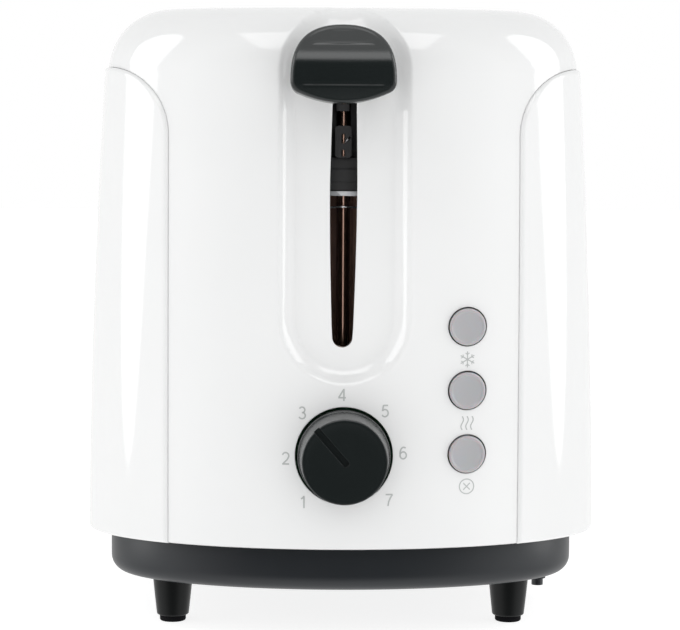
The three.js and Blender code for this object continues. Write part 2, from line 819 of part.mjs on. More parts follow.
function buildControlBoard() {
  const bottom = magnetBottom + over;
  const switchesTop = dialZ + 2 * buttonPitch + 2 * switchHalf;
  const middleTop = slotBottom - 2 * switchHalf;
  const boardLeft = -buttonX - boardMargin / 2;
  const towerLeft = buttonX - boardMargin;
  const towerRight = buttonX + boardMargin;
  const shape = new THREE.Shape();
  shape.moveTo(boardLeft, bottom);
  shape.lineTo(towerRight, bottom);
  shape.lineTo(towerRight, switchesTop);
  shape.lineTo(towerLeft, switchesTop);
  shape.lineTo(towerLeft, middleTop);
  shape.lineTo(boardLeft, middleTop);
  add("control_board", extrudeY(shape, [boardY, boardRear]), boardGreen);
  const shelfTop = magnetBottom - gap;
  const shelfBottom = shelfTop - bracketSheet;
  const face = boardRear + gap;
  const back = -chamberEnd - gap;
  const across = [-buttonX, buttonX];
  const shelf = block(across, [face, back], [shelfBottom, shelfTop]);
  const lug = block(across, [face, face + bracketSheet], [shelfBottom, shelfTop + bracketLug]);
  const magnetRoom = bar(
    magnetRadius + gap,
    [-magnetX, magnetY, shelfTop],
    [-magnetX, magnetY, bodyTop],
    { facets: 24 },
  );
  const flangeTop = shelfTop + bracketFlange;
  const flange = block(across, [back - bracketSheet, back], [shelfBottom, flangeTop]);
  const rodRoom = bar(2 * rodRadius, [0, rodY, 0], [0, rodY, bodyTop]);
  const whole = joined([shelf, lug, flange]);
  add("board_bracket", cut(whole, [magnetRoom, rodRoom]), galvanised);
}

// ---- Toasting chamber ---------------------------------------------------------------------

function lifterWindow(side, yRange) {
  const x = side * slotX;
  const zRange = [lifterLow - lifterHeight - windowMargin, lifterTop + windowMargin];
  return block([x - windowHalf, x + windowHalf], yRange, zRange);
}

function buildEndPlates() {
  for (const [name, end] of ends) {
    const yRange = end < 0 ? [-chamberEnd, -chamberEnd + sheet] : [chamberEnd - sheet, chamberEnd];
    const plate = block([-chamberSide, chamberSide], yRange, [chamberBottom, chamberTop]);
    const pieces = [plate];
    const inward = end * (chamberEnd - 2 * postRadius);
    for (const [, side] of sides) {
      const reach = [Math.min(inward, end * chamberEnd), Math.max(inward, end * chamberEnd)];
      const xRange = side < 0 ? [-chamberSide, -postX + postRadius] : [postX - postRadius, chamberSide];
      pieces.push(block(xRange, reach, [chamberBottom, chamberBottom + sheet]));
    }
    if (end < 0) {
      const tabFront = rodY - carriageHalfDepth;
      const tabReach = [tabFront, -chamberEnd + sheet];
      const headTab = [headTabTop - sheet, headTabTop];
      pieces.push(block([-tabHalfWidth, springX + springRadius], tabReach, headTab));
      const footTab = [rodBottom + over, rodBottom + over + sheet];
      pieces.push(block([-tabHalfWidth, tabHalfWidth], tabReach, footTab));
    }
    const cutters = [bar(rodRadius + runningGap, [0, rodY, 0], [0, rodY, bodyTop])];
    for (const [, side] of sides) {
      cutters.push(lifterWindow(side, [yRange[0] - over, yRange[1] + over]));
      for (const spread of [-guideSpread, guideSpread]) {
        const x = side * slotX + spread;
        const pivot = [x, yRange[0] - over, guidePivotZ];
        const beyond = [x, yRange[1] + over, guidePivotZ];
        cutters.push(bar(wireRadius + runningGap, pivot, beyond, { facets: 12 }));
      }
    }
    for (const [, x, y] of corners(postX, postY)) {
      cutters.push(bar(screwRadius + gap, [x, y, 0], [x, y, chamberBottom + screwGrip]));
    }
    add(name + "_end_plate", cut(joined(pieces), cutters), galvanised);
  }
}

function buildShields() {
  const inside = chamberEnd - sheet - gap;
  for (const [name, side] of sides) {
    const faces = [side * (chamberSide - sheet), side * chamberSide].sort((a, b) => a - b);
    const bottom = chamberBottom + sheet + gap;
    add(name + "_heat_shield", block(faces, [-inside, inside], [bottom, chamberTop]), galvanised);
  }
}

function buildHeaters() {
  const inside = chamberEnd - sheet - gap;
  const places = [
    ["left", -outerHeaterX],
    ["centre", 0],
    ["right", outerHeaterX],
  ];
  for (const [name, x] of places) {
    const faces = [x - heaterThickness / 2, x + heaterThickness / 2];
    const card = block(faces, [-inside, inside], [guidePivotZ, chamberTop - heaterTopMargin]);
    add(name + "_heater", card, mica);
  }
}

function buildSlotFrame() {
  const bottom = chamberTop + gap;
  const plateTop = bottom + sheet;
  const collarTop = bodyTop - shellWall - gap;
  const plate = block([-chamberSide, chamberSide], [-chamberEnd, chamberEnd], [bottom, plateTop]);
  const collars = sides.map(([, side]) => breadSlot(side, [bottom, collarTop], gap));
  const openings = sides.map(([, side]) => breadSlot(side, [bottom - over, bodyTop], gap + sheet));
  add("slot_frame", cut(joined([plate, ...collars]), openings), steel);
}

// A wire cage that swings in at its top, about its own bottom wire, to centre the bread.
function buildGuides() {
  const top = chamberTop - guideTopMargin;
  const reach = chamberEnd + guideReach;
  const long = slotHalfLength;
  for (const [sideName, side] of sides) {
    for (const [faceName, face] of [
      ["inner", -1],
      ["outer", 1],
    ]) {
      const x = side * slotX + side * face * guideSpread;
      const pieces = [
        bar(wireRadius, [x, -reach, guidePivotZ], [x, reach, guidePivotZ], { facets: 8 }),
        bar(wireRadius, [x, -long, top], [x, long, top], { facets: 8 }),
      ];
      const first = -long + guideEndMargin;
      const pitch = (-2 * first) / (guideWires - 1);
      for (let i = 0; i < guideWires; i++) {
        const y = first + i * pitch;
        pieces.push(bar(crossWireRadius, [x, y, guidePivotZ], [x, y, top], { facets: 6 }));
      }
      add(sideName + "_" + faceName + "_bread_guide", joined(pieces), steel);
    }
  }
}

function buildLifters() {
  const webFront = carriageBack + crossbarDepth + gap;
  const webRange = [webFront, chamberEnd + crossbarDepth];
  const zRange = [lifterBottom, lifterTop - over];
  const bedHalf = slotHalfLength - lifterBedMargin;
  for (const [name, side] of sides) {
    const x = side * slotX;
    const web = block([x - lifterWeb, x + lifterWeb], webRange, zRange);
    const bed = block(
      [x - lifterHalfWidth, x + lifterHalfWidth],
      [-bedHalf, bedHalf],
      [lifterTop - lifterBed, lifterTop],
    );
    const hanger = block(
      [x - carriageLegHalfWidth, x + carriageLegHalfWidth],
      [webFront, webFront + lifterBed],
      zRange,
    );
    add(name + "_bread_lifter", joined([web, bed, hanger]), steel);
  }
}

function buildInsulation() {
  const half = slotX - guideSpread / 2;
  const yRange = [-chamberEnd - insulation.front, -chamberEnd - gap];
  const zRange = [guidePivotZ + insulation.margin, chamberTop - insulation.margin];
  add("insulating_sheet", block([-half, half], yRange, zRange), phenolic);
}

function buildTerminalBlock() {
  const face = chamberEnd + gap;
  const back = face + terminal.depth;
  const half = slotX - terminal.inset;
  const bottom = guidePivotZ + terminal.lift;
  const middle = bottom + terminal.height / 2;
  const body = block([-half, half], [face, back], [bottom, bottom + terminal.height]);
  const holes = [-1, 0, 1].map((i) => {
    const x = i * terminal.pitch;
    const floor = face + terminal.bore;
    return bar(terminal.bore, [x, floor, middle], [x, back + over, middle], { facets: 12 });
  });
  add("terminal_block", cut(body, holes), white);
}

buildShell();
buildSidePanels();
buildBase();
buildScrews();
buildFeet();
buildCordHooks();
buildCrumbTray();
buildCordGland();
buildDial();
buildDialDrive();
buildButtons();
buildKnob();
buildCarriage();
buildLeverArm();
buildSpringAndRod();
buildLatch();
buildControlBoard();
buildEndPlates();
buildShields();
buildHeaters();
buildSlotFrame();
buildGuides();
buildLifters();
buildInsulation();
buildTerminalBlock();

export default toaster;
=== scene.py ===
"""Pop-up toaster: the looks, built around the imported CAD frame. Lengths below are in millimetres."""

import json
import math

import bmesh
import bpy
import numpy as np
from mathutils import Matrix, Vector


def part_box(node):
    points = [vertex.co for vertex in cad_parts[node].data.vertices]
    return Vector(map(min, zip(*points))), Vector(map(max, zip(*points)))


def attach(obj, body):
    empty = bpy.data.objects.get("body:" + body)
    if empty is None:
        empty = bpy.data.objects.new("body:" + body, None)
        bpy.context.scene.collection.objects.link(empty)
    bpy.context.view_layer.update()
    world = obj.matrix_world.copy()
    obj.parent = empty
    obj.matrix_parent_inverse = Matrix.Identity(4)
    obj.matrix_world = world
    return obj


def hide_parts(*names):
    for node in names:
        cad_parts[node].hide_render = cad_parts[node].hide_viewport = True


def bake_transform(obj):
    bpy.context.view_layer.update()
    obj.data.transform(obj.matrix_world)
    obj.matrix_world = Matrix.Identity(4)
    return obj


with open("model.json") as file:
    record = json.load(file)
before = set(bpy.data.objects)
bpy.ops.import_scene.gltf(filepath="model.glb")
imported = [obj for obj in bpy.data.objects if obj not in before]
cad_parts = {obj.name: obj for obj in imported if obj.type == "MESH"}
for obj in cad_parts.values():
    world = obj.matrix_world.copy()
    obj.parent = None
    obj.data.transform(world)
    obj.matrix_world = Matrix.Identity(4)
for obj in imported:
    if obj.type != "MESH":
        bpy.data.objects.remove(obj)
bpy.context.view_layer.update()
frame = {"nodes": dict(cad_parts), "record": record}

MM = 0.001
NODES = frame["nodes"]


def box_mm(node):
    low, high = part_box(node)
    return np.array(low) / MM, np.array(high) / MM


def middle_mm(node):
    low, high = box_mm(node)
    return (low + high) / 2


# ---- Driving sizes of the body's surface ----------------------------------------------------

PANEL_LOW, PANEL_HIGH = box_mm("right_side_panel")
SHELL_LOW, SHELL_HIGH = box_mm("body_shell")
BASE_LOW, BASE_HIGH = box_mm("base")
PANEL_PROUD = 1.2
HALF_WIDTH = PANEL_HIGH[0] - PANEL_PROUD
FRONT = SHELL_LOW[1]
REAR = SHELL_HIGH[1]
BOTTOM = SHELL_LOW[2]
TOP = SHELL_HIGH[2]
END_DEPTH = 45.6
DRAFT = 5.6
DRAFT_POWER = 1.73
SHOULDER_RADIUS = 20.0
CROWN = 0.6
WALL = 3.0
SHOULDER_Z = TOP - CROWN - SHOULDER_RADIUS
FRONT_CENTRE = FRONT + END_DEPTH
REAR_CENTRE = REAR - END_DEPTH
CAP_INSET = 38.0
BOTTOM_ROUND = 0.9

SEAM_X = PANEL_LOW[0]
PANEL_TOP = PANEL_HIGH[2]
PANEL_CORNER = 21.5

DIAL_LOW, DIAL_HIGH = box_mm("browning_dial")
DIAL_Z = middle_mm("browning_dial")[2]
DIAL_RADIUS = (DIAL_HIGH[0] - DIAL_LOW[0]) / 2
DIAL_HOLE = DIAL_RADIUS + 0.8
BUTTON_Z = {name: middle_mm(name + "_button")[2] for name in ("cancel", "reheat", "defrost")}
BUTTON_X = middle_mm("cancel_button")[0]
BUTTON_RADIUS = 5.75
BUTTON_HOLE = 6.15
GLAND_HOLE = 5.5

CHANNEL_HALF = 20.2
CHANNEL_DEPTH = 4.0
CHANNEL_BOTTOM = DIAL_Z + 22.3
CHANNEL_TOP = TOP - 0.8
SLOT_BOTTOM = CHANNEL_BOTTOM + 11.0
SLOT_TOP = TOP - 16.6
SLOT_WAIST_Z = TOP - 55.0
SLOT_HALVES = {"foot": 3.15, "waist": 4.25, "head": 3.5}
SLOT_LEANS = {"foot": -0.6, "waist": -0.35, "head": 0.0}


# ---- Mesh helpers ---------------------------------------------------------------------------

def new_mesh(name, points, faces, material=None, smooth=True):
    """A mesh object from points in millimetres."""
    mesh = bpy.data.meshes.new(name)
    mesh.from_pydata([tuple(p) for p in np.asarray(points, float) * MM], [], [list(f) for f in faces])
    mesh.validate()
    mesh.update()
    if smooth:
        mesh.shade_smooth()
    piece = bpy.data.objects.new(name, mesh)
    bpy.context.scene.collection.objects.link(piece)
    if material:
        mesh.materials.append(material)
    return piece


def grid_faces(rows, columns, closed=False, offset=0, flip=False):
    faces = []
    last = columns if closed else columns - 1
    for row in range(rows - 1):
        for column in range(last):
            a = offset + row * columns + column
            b = offset + row * columns + (column + 1) % columns
            c, d = b + columns, a + columns
            faces.append((a, d, c, b) if flip else (a, b, c, d))
    return faces


def tube_loft(name, rings, material, smooth=True):
    """A closed surface through rings with the same number of points, with flat ends."""
    rings = [np.asarray(r, float) for r in rings]
    count = len(rings[0])
    last = (len(rings) - 1) * count
    faces = grid_faces(len(rings), count, closed=True)
    faces.append(tuple(range(count))[::-1])
    faces.append(tuple(range(last, last + count)))
    return new_mesh(name, np.vstack(rings), faces, material, smooth)


def turned(name, profile, centre, axis="Z", material=None, sides=64):
    """A closed solid of revolution. The profile is [radius, height] from one end to the other."""
    angles = np.linspace(0, 2 * math.pi, sides, endpoint=False)
    rings = []
    for radius, height in profile:
        radius = max(radius, 1e-3)
        u, v, w = radius * np.cos(angles), radius * np.sin(angles), np.full(sides, height)
        if axis == "Z":
            ring = np.stack([u, v, w], 1)
        else:
            ring = np.stack([u, -w, v], 1)
        rings.append(ring + np.array(centre))
    return tube_loft(name, rings, material)


def arc_profile(centre, radius, start, end, steps):
    """Points of an arc in a [radius, height] profile, between two angles in degrees."""
    angles = np.radians(np.linspace(start, end, steps + 1))
    return [(centre[0] + radius * math.cos(a), centre[1] + radius * math.sin(a)) for a in angles]


def sharpen(piece, angle=35):
    piece.data.set_sharp_from_angle(angle=math.radians(angle))


def apply_modifiers(piece):
    graph = bpy.context.evaluated_depsgraph_get()
    graph.update()
    mesh = bpy.data.meshes.new_from_object(piece.evaluated_get(graph))
    piece.modifiers.clear()
    piece.data = mesh
    return piece


def prism(name, outline, y0, y1):
    """A closed prism along Y from an outline of (x, z) points."""
    outline = np.asarray(outline, float)
    rings = [np.column_stack([outline[:, 0], np.full(len(outline), y), outline[:, 1]]) for y in (y0, y1)]
    return tube_loft(name, rings, None, smooth=False)


def upright_prism(name, outline, z0, z1):
    """A closed prism along Z from an outline of (x, y) points."""
    outline = np.asarray(outline, float)
    rings = [np.column_stack([outline, np.full(len(outline), z)]) for z in (z0, z1)]
    return tube_loft(name, rings, None, smooth=False)


def circle(x, z, radius, steps=96):
    angles = np.linspace(0, 2 * math.pi, steps, endpoint=False)
    return np.column_stack([x + radius * np.cos(angles), z + radius * np.sin(angles)])


def rounded_box_outline(x0, x1, y0, y1, radius, steps=8):
    points = []
    for cx, cy, start in (
        (x1 - radius, y0 + radius, -90),
        (x1 - radius, y1 - radius, 0),
        (x0 + radius, y1 - radius, 90),
        (x0 + radius, y0 + radius, 180),
    ):
        for a in np.radians(np.linspace(start, start + 90, steps + 1)):
            points.append((cx + radius * math.cos(a), cy + radius * math.sin(a)))
    return points


def subtract(piece, cutters):
    """Cuts pieces out of a piece, and removes the cutters."""
    for cutter in cutters:
        fix_outward(cutter)
        modifier = piece.modifiers.new("cut", "BOOLEAN")
        modifier.operation = "DIFFERENCE"
        modifier.object = cutter
        modifier.solver = "EXACT"
        apply_modifiers(piece)
        bpy.data.objects.remove(cutter)
    return piece


def fix_outward(piece):
    mesh = bmesh.new()
    mesh.from_mesh(piece.data)
    bmesh.ops.recalc_face_normals(mesh, faces=mesh.faces)
    mesh.to_mesh(piece.data)
    mesh.free()
    return piece


# ---- The body's surface as formulas -----------------------------------------------------------

def smoothstep(t):
    t = np.clip(t, 0, 1)
    return t * t * (3 - 2 * t)


def draft_at(z):
    rise = np.clip((np.asarray(z, float) - BOTTOM) / (SHOULDER_Z - BOTTOM), 0, None)
    return DRAFT * rise ** DRAFT_POWER


def stadium_distance(x, z):
    """Distance outside the lever channel's outline in the front view, negative inside."""
    nearest = np.clip(z, CHANNEL_BOTTOM + CHANNEL_HALF, CHANNEL_TOP - CHANNEL_HALF)
    return np.hypot(x, z - nearest) - CHANNEL_HALF


def panel_distance(x, z):
    """Distance inside a side panel's outline in the front view, negative outside."""
    across = np.abs(x) - SEAM_X
    down = PANEL_TOP - z
    inside = np.minimum(across, down)
    corner = PANEL_CORNER - np.hypot(np.maximum(PANEL_CORNER - across, 0), np.maximum(PANEL_CORNER - down, 0))
    at_corner = (across < PANEL_CORNER) & (down < PANEL_CORNER)
    return np.where(at_corner, corner, inside)


RIM_OUT = -0.9
RIM_TURN = 0.9
RIM_IN = 5.0


def recess(x, y, z):
    """How deep the lever channel is below the body's own surface: a rim, a steep wall, a long foot."""
    s = -stadium_distance(x, z)
    steepest = 2 * CHANNEL_DEPTH / (RIM_IN - RIM_OUT)
    rim = steepest / (2 * (RIM_TURN - RIM_OUT)) * np.clip(s - RIM_OUT, 0, None) ** 2
    foot = CHANNEL_DEPTH - steepest / (2 * (RIM_IN - RIM_TURN)) * np.clip(RIM_IN - s, 0, None) ** 2
    return np.where(y < FRONT_CENTRE, np.where(s < RIM_TURN, rim, foot), 0)


def plan_columns():
    """Unit plan positions (ux, uy, y of the ellipse's centre) all the way round, from the rear, by +X."""
    front_x = np.concatenate([
        np.arange(0, 15, 1.5), np.arange(15, 18.4, 0.5), np.arange(18.4, 23, 0.16), np.arange(23.6, 72, 1.6),
    ])
    front_angles = list(np.arcsin(front_x / HALF_WIDTH))
    front_angles += list(np.linspace(front_angles[-1], math.pi / 2, 22)[1:])
    rear_angles = np.linspace(0, math.pi / 2, 64)
    sides = np.linspace(REAR_CENTRE, FRONT_CENTRE, 26)[1:-1]
    right = [(math.sin(a), math.cos(a), REAR_CENTRE) for a in rear_angles]
    right += [(1.0, 0.0, y) for y in sides]
    right += [(math.sin(a), -math.cos(a), FRONT_CENTRE) for a in front_angles[::-1]]
    left = [(-ux, uy, y) for ux, uy, y in right[::-1][1:-1]]
    return np.array(right + left)


def profile_rows():
    """Rows of the profile as (kind, value): a wall height, a shoulder angle, or an inset on the top."""
    walls = np.concatenate([
        [BOTTOM, BOTTOM + 0.35, BOTTOM + 0.8, BOTTOM + 1.4, BOTTOM + 2.5],
        np.arange(BOTTOM + 4.5, CHANNEL_BOTTOM - 4, 2.2),
        np.arange(CHANNEL_BOTTOM - 4, CHANNEL_BOTTOM + 24, 0.5),
        np.arange(CHANNEL_BOTTOM + 24, 158, 2.2),
        np.arange(158, SHOULDER_Z, 1.0),
    ])
    rows = [("wall", z) for z in walls]
    rows += [("shoulder", a) for a in np.linspace(0, math.pi / 2, 34)]
    rows += [("top", t) for t in np.linspace(0, 1, 9)[1:]]
    return rows


def body_grid(columns, rows, depth):
    """Points of the body's surface at a depth under the skin, as an array of rows by columns by 3."""
    ux, uy, ys = columns.T
    top_inset = DRAFT + SHOULDER_RADIUS

    def place(kind, value, d):
        if kind == "wall":
            z = np.full(len(ux), value)
            inset = draft_at(z) + d
        elif kind == "shoulder":
            radius = SHOULDER_RADIUS - d
            z = SHOULDER_Z + radius * math.sin(value)
            inset = DRAFT + SHOULDER_RADIUS - radius * math.cos(value)
        else:
            z = TOP - CROWN * (1 - smoothstep(value)) - d
            inset = np.full(len(ux), top_inset + (CAP_INSET - top_inset) * value)
        x = (HALF_WIDTH - inset) * ux
        y = ys + (END_DEPTH - inset) * uy
        return np.stack([x, y, z + 0 * x], 1)

    grid = []
    for kind, value in rows:
        base = place(kind, value, np.zeros(len(ux)))
        d = depth + recess(base[:, 0], base[:, 1], base[:, 2])
        if kind == "wall" and depth == 0:
            edge = np.clip((BOTTOM_ROUND - (value - BOTTOM)) / BOTTOM_ROUND, 0, 1)
            d = d + BOTTOM_ROUND * (1 - math.sqrt(1 - edge * edge)) * 0.8
        grid.append(place(kind, value, d))
    return np.array(grid)


def front_surface(x, z):
    """Y of the body's front surface at (x, z), with no recess, on the wall."""
    inset = draft_at(z)
    ratio = np.clip(np.asarray(x, float) / (HALF_WIDTH - inset), -0.999, 0.999)
    return FRONT_CENTRE - (END_DEPTH - inset) * np.sqrt(1 - ratio ** 2)


def plan_inset(x, y):
    """How far inside the plan outline a point is, found by halving an interval."""
    along = np.where(y < FRONT_CENTRE, FRONT_CENTRE - y, np.where(y > REAR_CENTRE, y - REAR_CENTRE, 0))
    low = np.full(len(x), -6.0)
    high = np.minimum(END_DEPTH - 1e-3, HALF_WIDTH - np.abs(x) + 1e-6)
    high = np.maximum(high, low)
    for _ in range(36):
        middle = (low + high) / 2
        value = (x / (HALF_WIDTH - middle)) ** 2 + (along / (END_DEPTH - middle)) ** 2
        inside = value < 1
        low = np.where(inside, middle, low)
        high = np.where(inside, high, middle)
    return (low + high) / 2


def skin_depth(points):
    """Depth under the body's finished skin, zero on it."""
    x, y, z = points.T
    q = plan_inset(x, y)
    centre = DRAFT + SHOULDER_RADIUS
    wall = q - draft_at(np.minimum(z, SHOULDER_Z))
    shoulder = SHOULDER_RADIUS - np.hypot(centre - q, z - SHOULDER_Z)
    share = (q - centre) / (CAP_INSET - centre)
    top = TOP - CROWN * (1 - smoothstep(share)) - z
    depth = np.where(z < SHOULDER_Z, wall, np.where(q < centre, shoulder, top))
    return depth - recess(x, y, z)


SKIN_TOLERANCE = 0.12
SKIN_AGREEMENT = 0.75
SKIN_STEP = 0.02


def set_skin_normals(piece):
    """Gives the vertices on the skin the normals of the formula, so that cuts leave no shading marks."""
    mesh = piece.data
    count = len(mesh.vertices)
    points = np.zeros(count * 3)
    mesh.vertices.foreach_get("co", points)
    points = points.reshape(-1, 3) / MM
    gradient = np.zeros_like(points)
    for axis in range(3):
        shift = np.zeros(3)
        shift[axis] = SKIN_STEP
        gradient[:, axis] = skin_depth(points + shift) - skin_depth(points - shift)
    lengths = np.linalg.norm(gradient, axis=1, keepdims=True)
    outward = -gradient / np.maximum(lengths, 1e-9)
    on_skin = (np.abs(skin_depth(points)) < SKIN_TOLERANCE) & (lengths[:, 0] > 1e-4)
    face_normals = np.zeros(len(mesh.polygons) * 3)
    mesh.polygons.foreach_get("normal", face_normals)
    face_normals = face_normals.reshape(-1, 3)
    totals = np.zeros(len(mesh.polygons), int)
    mesh.polygons.foreach_get("loop_total", totals)
    loop_face = np.repeat(np.arange(len(mesh.polygons)), totals)
    loop_vertex = np.zeros(len(mesh.loops), int)
    mesh.loops.foreach_get("vertex_index", loop_vertex)
    wanted = outward[loop_vertex]
    same_way = np.sum(wanted * face_normals[loop_face], axis=1) > SKIN_AGREEMENT
    keep = on_skin[loop_vertex] & same_way
    wanted[~keep] = 0
    mesh.normals_split_custom_set([tuple(n) for n in wanted])


# ---- Materials --------------------------------------------------------------------------------

def new_material(name, color, roughness, metallic=0.0, **sockets):
    material = bpy.data.materials.new(name)
    material.use_nodes = True
    shader = material.node_tree.nodes["Principled BSDF"]
    shader.inputs["Base Color"].default_value = (*color, 1)
    shader.inputs["Roughness"].default_value = roughness
    shader.inputs["Metallic"].default_value = metallic
    for socket, value in sockets.items():
        shader.inputs[socket.replace("_", " ")].default_value = value
    return material


def node(material, kind, **inputs):
    made = material.node_tree.nodes.new(kind)
    for name, value in inputs.items():
        made.inputs[name].default_value = value
    return made


def link(material, source, target):
    material.node_tree.links.new(source, target)


def object_coordinates(material, scale=(1, 1, 1)):
    coordinates = node(material, "ShaderNodeTexCoord")
    mapping = node(material, "ShaderNodeMapping")
    mapping.inputs["Scale"].default_value = scale
    link(material, coordinates.outputs["Object"], mapping.inputs["Vector"])
    return mapping.outputs["Vector"]


def noise(material, vector, scale, detail=3.0, roughness=0.5):
    made = node(material, "ShaderNodeTexNoise", Scale=scale, Detail=detail, Roughness=roughness)
    link(material, vector, made.inputs["Vector"])
    return made.outputs["Fac"]


def ranged(material, value, low, high):
    made = node(material, "ShaderNodeMapRange")
    made.inputs["To Min"].default_value = low
    made.inputs["To Max"].default_value = high
    link(material, value, made.inputs["Value"])
    return made.outputs["Result"]


def vary_color(material, value, dark, light):
    ramp = material.node_tree.nodes.new("ShaderNodeValToRGB")
    ramp.color_ramp.elements[0].color = (*dark, 1)
    ramp.color_ramp.elements[1].color = (*light, 1)
    ramp.color_ramp.elements[0].position = 0.3
    ramp.color_ramp.elements[1].position = 0.7
    link(material, value, ramp.inputs["Fac"])
    link(material, ramp.outputs["Color"], material.node_tree.nodes["Principled BSDF"].inputs["Base Color"])


def bump(material, height, strength, distance, edge=0.0):
    """Adds a bump, on top of a softened edge where edge is a radius in millimetres."""
    shader = material.node_tree.nodes["Principled BSDF"]
    made = node(material, "ShaderNodeBump", Strength=strength, Distance=distance * MM)
    link(material, height, made.inputs["Height"])
    if edge:
        soft = material.node_tree.nodes.new("ShaderNodeBevel")
        soft.samples = 4
        soft.inputs["Radius"].default_value = edge * MM
        link(material, soft.outputs["Normal"], made.inputs["Normal"])
    link(material, made.outputs["Normal"], shader.inputs["Normal"])


def rough(material, value, low, high):
    shader = material.node_tree.nodes["Principled BSDF"]
    link(material, ranged(material, value, low, high), shader.inputs["Roughness"])


def plastic(name, dark, light, roughness, grain_scale, grain_depth, edge=0.0, **sockets):
    """Moulded plastic: slightly uneven colour and gloss, and a fine moulded grain."""
    material = new_material(name, light, sum(roughness) / 2, **sockets)
    vector = object_coordinates(material)
    vary_color(material, noise(material, vector, 18, 4), dark, light)
    rough(material, noise(material, vector, 60, 5), *roughness)
    bump(material, noise(material, vector, grain_scale, 3), 0.35, grain_depth, edge)
    return material


def sheet_metal(name, dark, light, roughness, stretch, edge=0.0):
    """Rolled or brushed metal, with its grain drawn out along one direction."""
    material = new_material(name, light, sum(roughness) / 2, 1.0)
    vector = object_coordinates(material, stretch)
    grain = noise(material, vector, 900, 4)
    vary_color(material, noise(material, object_coordinates(material), 35, 5), dark, light)
    rough(material, grain, *roughness)
    bump(material, grain, 0.2, 0.02, edge)
    return material


def cells(material, vector, scale):
    """Two random values for each cell of a pattern of patches."""
    patches = node(material, "ShaderNodeTexVoronoi", Scale=scale)
    link(material, vector, patches.inputs["Vector"])
    tone = node(material, "ShaderNodeSeparateColor")
    link(material, patches.outputs["Color"], tone.inputs["Color"])
    return tone.outputs["Red"], tone.outputs["Green"]


def galvanised_sheet():
    material = new_material("galvanised_steel", (0.42, 0.43, 0.44), 0.42, 1.0)
    vector = object_coordinates(material)
    spangle, gloss = cells(material, vector, 170)
    vary_color(material, spangle, (0.34, 0.35, 0.36), (0.52, 0.53, 0.54))
    rough(material, gloss, 0.3, 0.5)
    bump(material, noise(material, vector, 400, 3), 0.15, 0.03)
    return material


def mica_board():
    material = new_material("mica", (0.46, 0.39, 0.28), 0.5)
    vector = object_coordinates(material)
    flakes = cells(material, vector, 620)[0]
    vary_color(material, flakes, (0.33, 0.26, 0.17), (0.56, 0.49, 0.37))
    rough(material, noise(material, vector, 300, 4), 0.3, 0.6)
    bump(material, flakes, 0.25, 0.05)
    return material


def phenolic_board():
    material = new_material("phenolic", (0.05, 0.022, 0.014), 0.35)
    vector = object_coordinates(material, (1, 1, 0.15))
    vary_color(material, noise(material, vector, 240, 4), (0.26, 0.15, 0.11), (0.4, 0.25, 0.19))
    rough(material, noise(material, vector, 500, 3), 0.22, 0.45)
    bump(material, noise(material, vector, 700, 3), 0.3, 0.05)
    return material


def wound_copper():
    material = new_material("copper_winding", (0.42, 0.13, 0.05), 0.3, 1.0)
    vector = object_coordinates(material)
    vary_color(material, noise(material, vector, 500, 3), (0.3, 0.08, 0.03), (0.5, 0.18, 0.08))
    rough(material, noise(material, vector, 300, 3), 0.22, 0.4)
    bands = node(material, "ShaderNodeTexWave", Scale=800.0)
    bands.bands_direction = "Z"
    link(material, vector, bands.inputs["Vector"])
    bump(material, bands.outputs["Fac"], 0.6, 0.1)
    return material


def circuit_board():
    material = new_material("board", (0.02, 0.09, 0.04), 0.35)
    vector = object_coordinates(material)
    tracks = node(material, "ShaderNodeTexVoronoi", Scale=220)
    tracks.distance = "CHEBYCHEV"
    link(material, vector, tracks.inputs["Vector"])
    vary_color(material, tracks.outputs["Distance"], (0.016, 0.075, 0.032), (0.03, 0.13, 0.06))
    rough(material, noise(material, vector, 400, 3), 0.28, 0.45)
    bump(material, tracks.outputs["Distance"], 0.2, 0.05)
    return material


WHITE = plastic("white_plastic", (0.79, 0.795, 0.795), (0.81, 0.814, 0.813), (0.05, 0.09), 260, 0.006, 0.45,
                Specular_IOR_Level=0.5)
CHARCOAL = plastic("charcoal_plastic", (0.01, 0.012, 0.015), (0.013, 0.016, 0.019), (0.34, 0.42), 1500, 0.02,
                   0.4)
KNOB = plastic("knob_plastic", (0.006, 0.009, 0.009), (0.008, 0.011, 0.011), (0.22, 0.28), 900, 0.008, 0.25)
BUTTON = plastic("button_plastic", (0.375, 0.375, 0.39), (0.415, 0.415, 0.43), (0.3, 0.4), 800, 0.01, 0.3,
                 Subsurface_Weight=0.35, Subsurface_Scale=0.002, Coat_Weight=0.3)
BLACK = plastic("black_plastic", (0.004, 0.004, 0.005), (0.008, 0.008, 0.01), (0.35, 0.5), 1200, 0.02, 0.2)
RUBBER = plastic("rubber", (0.003, 0.003, 0.004), (0.006, 0.006, 0.007), (0.7, 0.85), 1400, 0.05,
                 Specular_IOR_Level=0.1)
# Painted shade: the feet's charcoal plastic, made darker and less glossy than the base's to stand for the
# shadow under the toaster.
FOOT_PAINTED_SHADE = plastic("foot_plastic_painted_shade", (0.004, 0.005, 0.005), (0.006, 0.007, 0.007), (0.3, 0.4), 1500, 0.02, 0.2,
               Specular_IOR_Level=0.22)
STEEL = sheet_metal("bright_steel", (0.52, 0.52, 0.53), (0.66, 0.66, 0.67), (0.2, 0.34), (1, 0.06, 1), 0.1)
OXIDE = sheet_metal("black_metal", (0.02, 0.02, 0.022), (0.04, 0.04, 0.043), (0.35, 0.5), (1, 0.1, 1), 0.1)
NICHROME = sheet_metal("nichrome", (0.2, 0.17, 0.15), (0.36, 0.33, 0.3), (0.3, 0.5), (1, 1, 1))
GALVANISED = galvanised_sheet()
MICA = mica_board()
PHENOLIC = phenolic_board()
COPPER = wound_copper()
BOARD = circuit_board()
# Painted reflection: the guide rod's steel is tinted brown to stand for the brown board it reflects.
ROD_STEEL_PAINTED_REFLECTION = sheet_metal("rod_steel_painted_reflection", (0.26, 0.16, 0.12), (0.38, 0.25, 0.2), (0.16, 0.24), (1, 1, 0.1), 0.1)
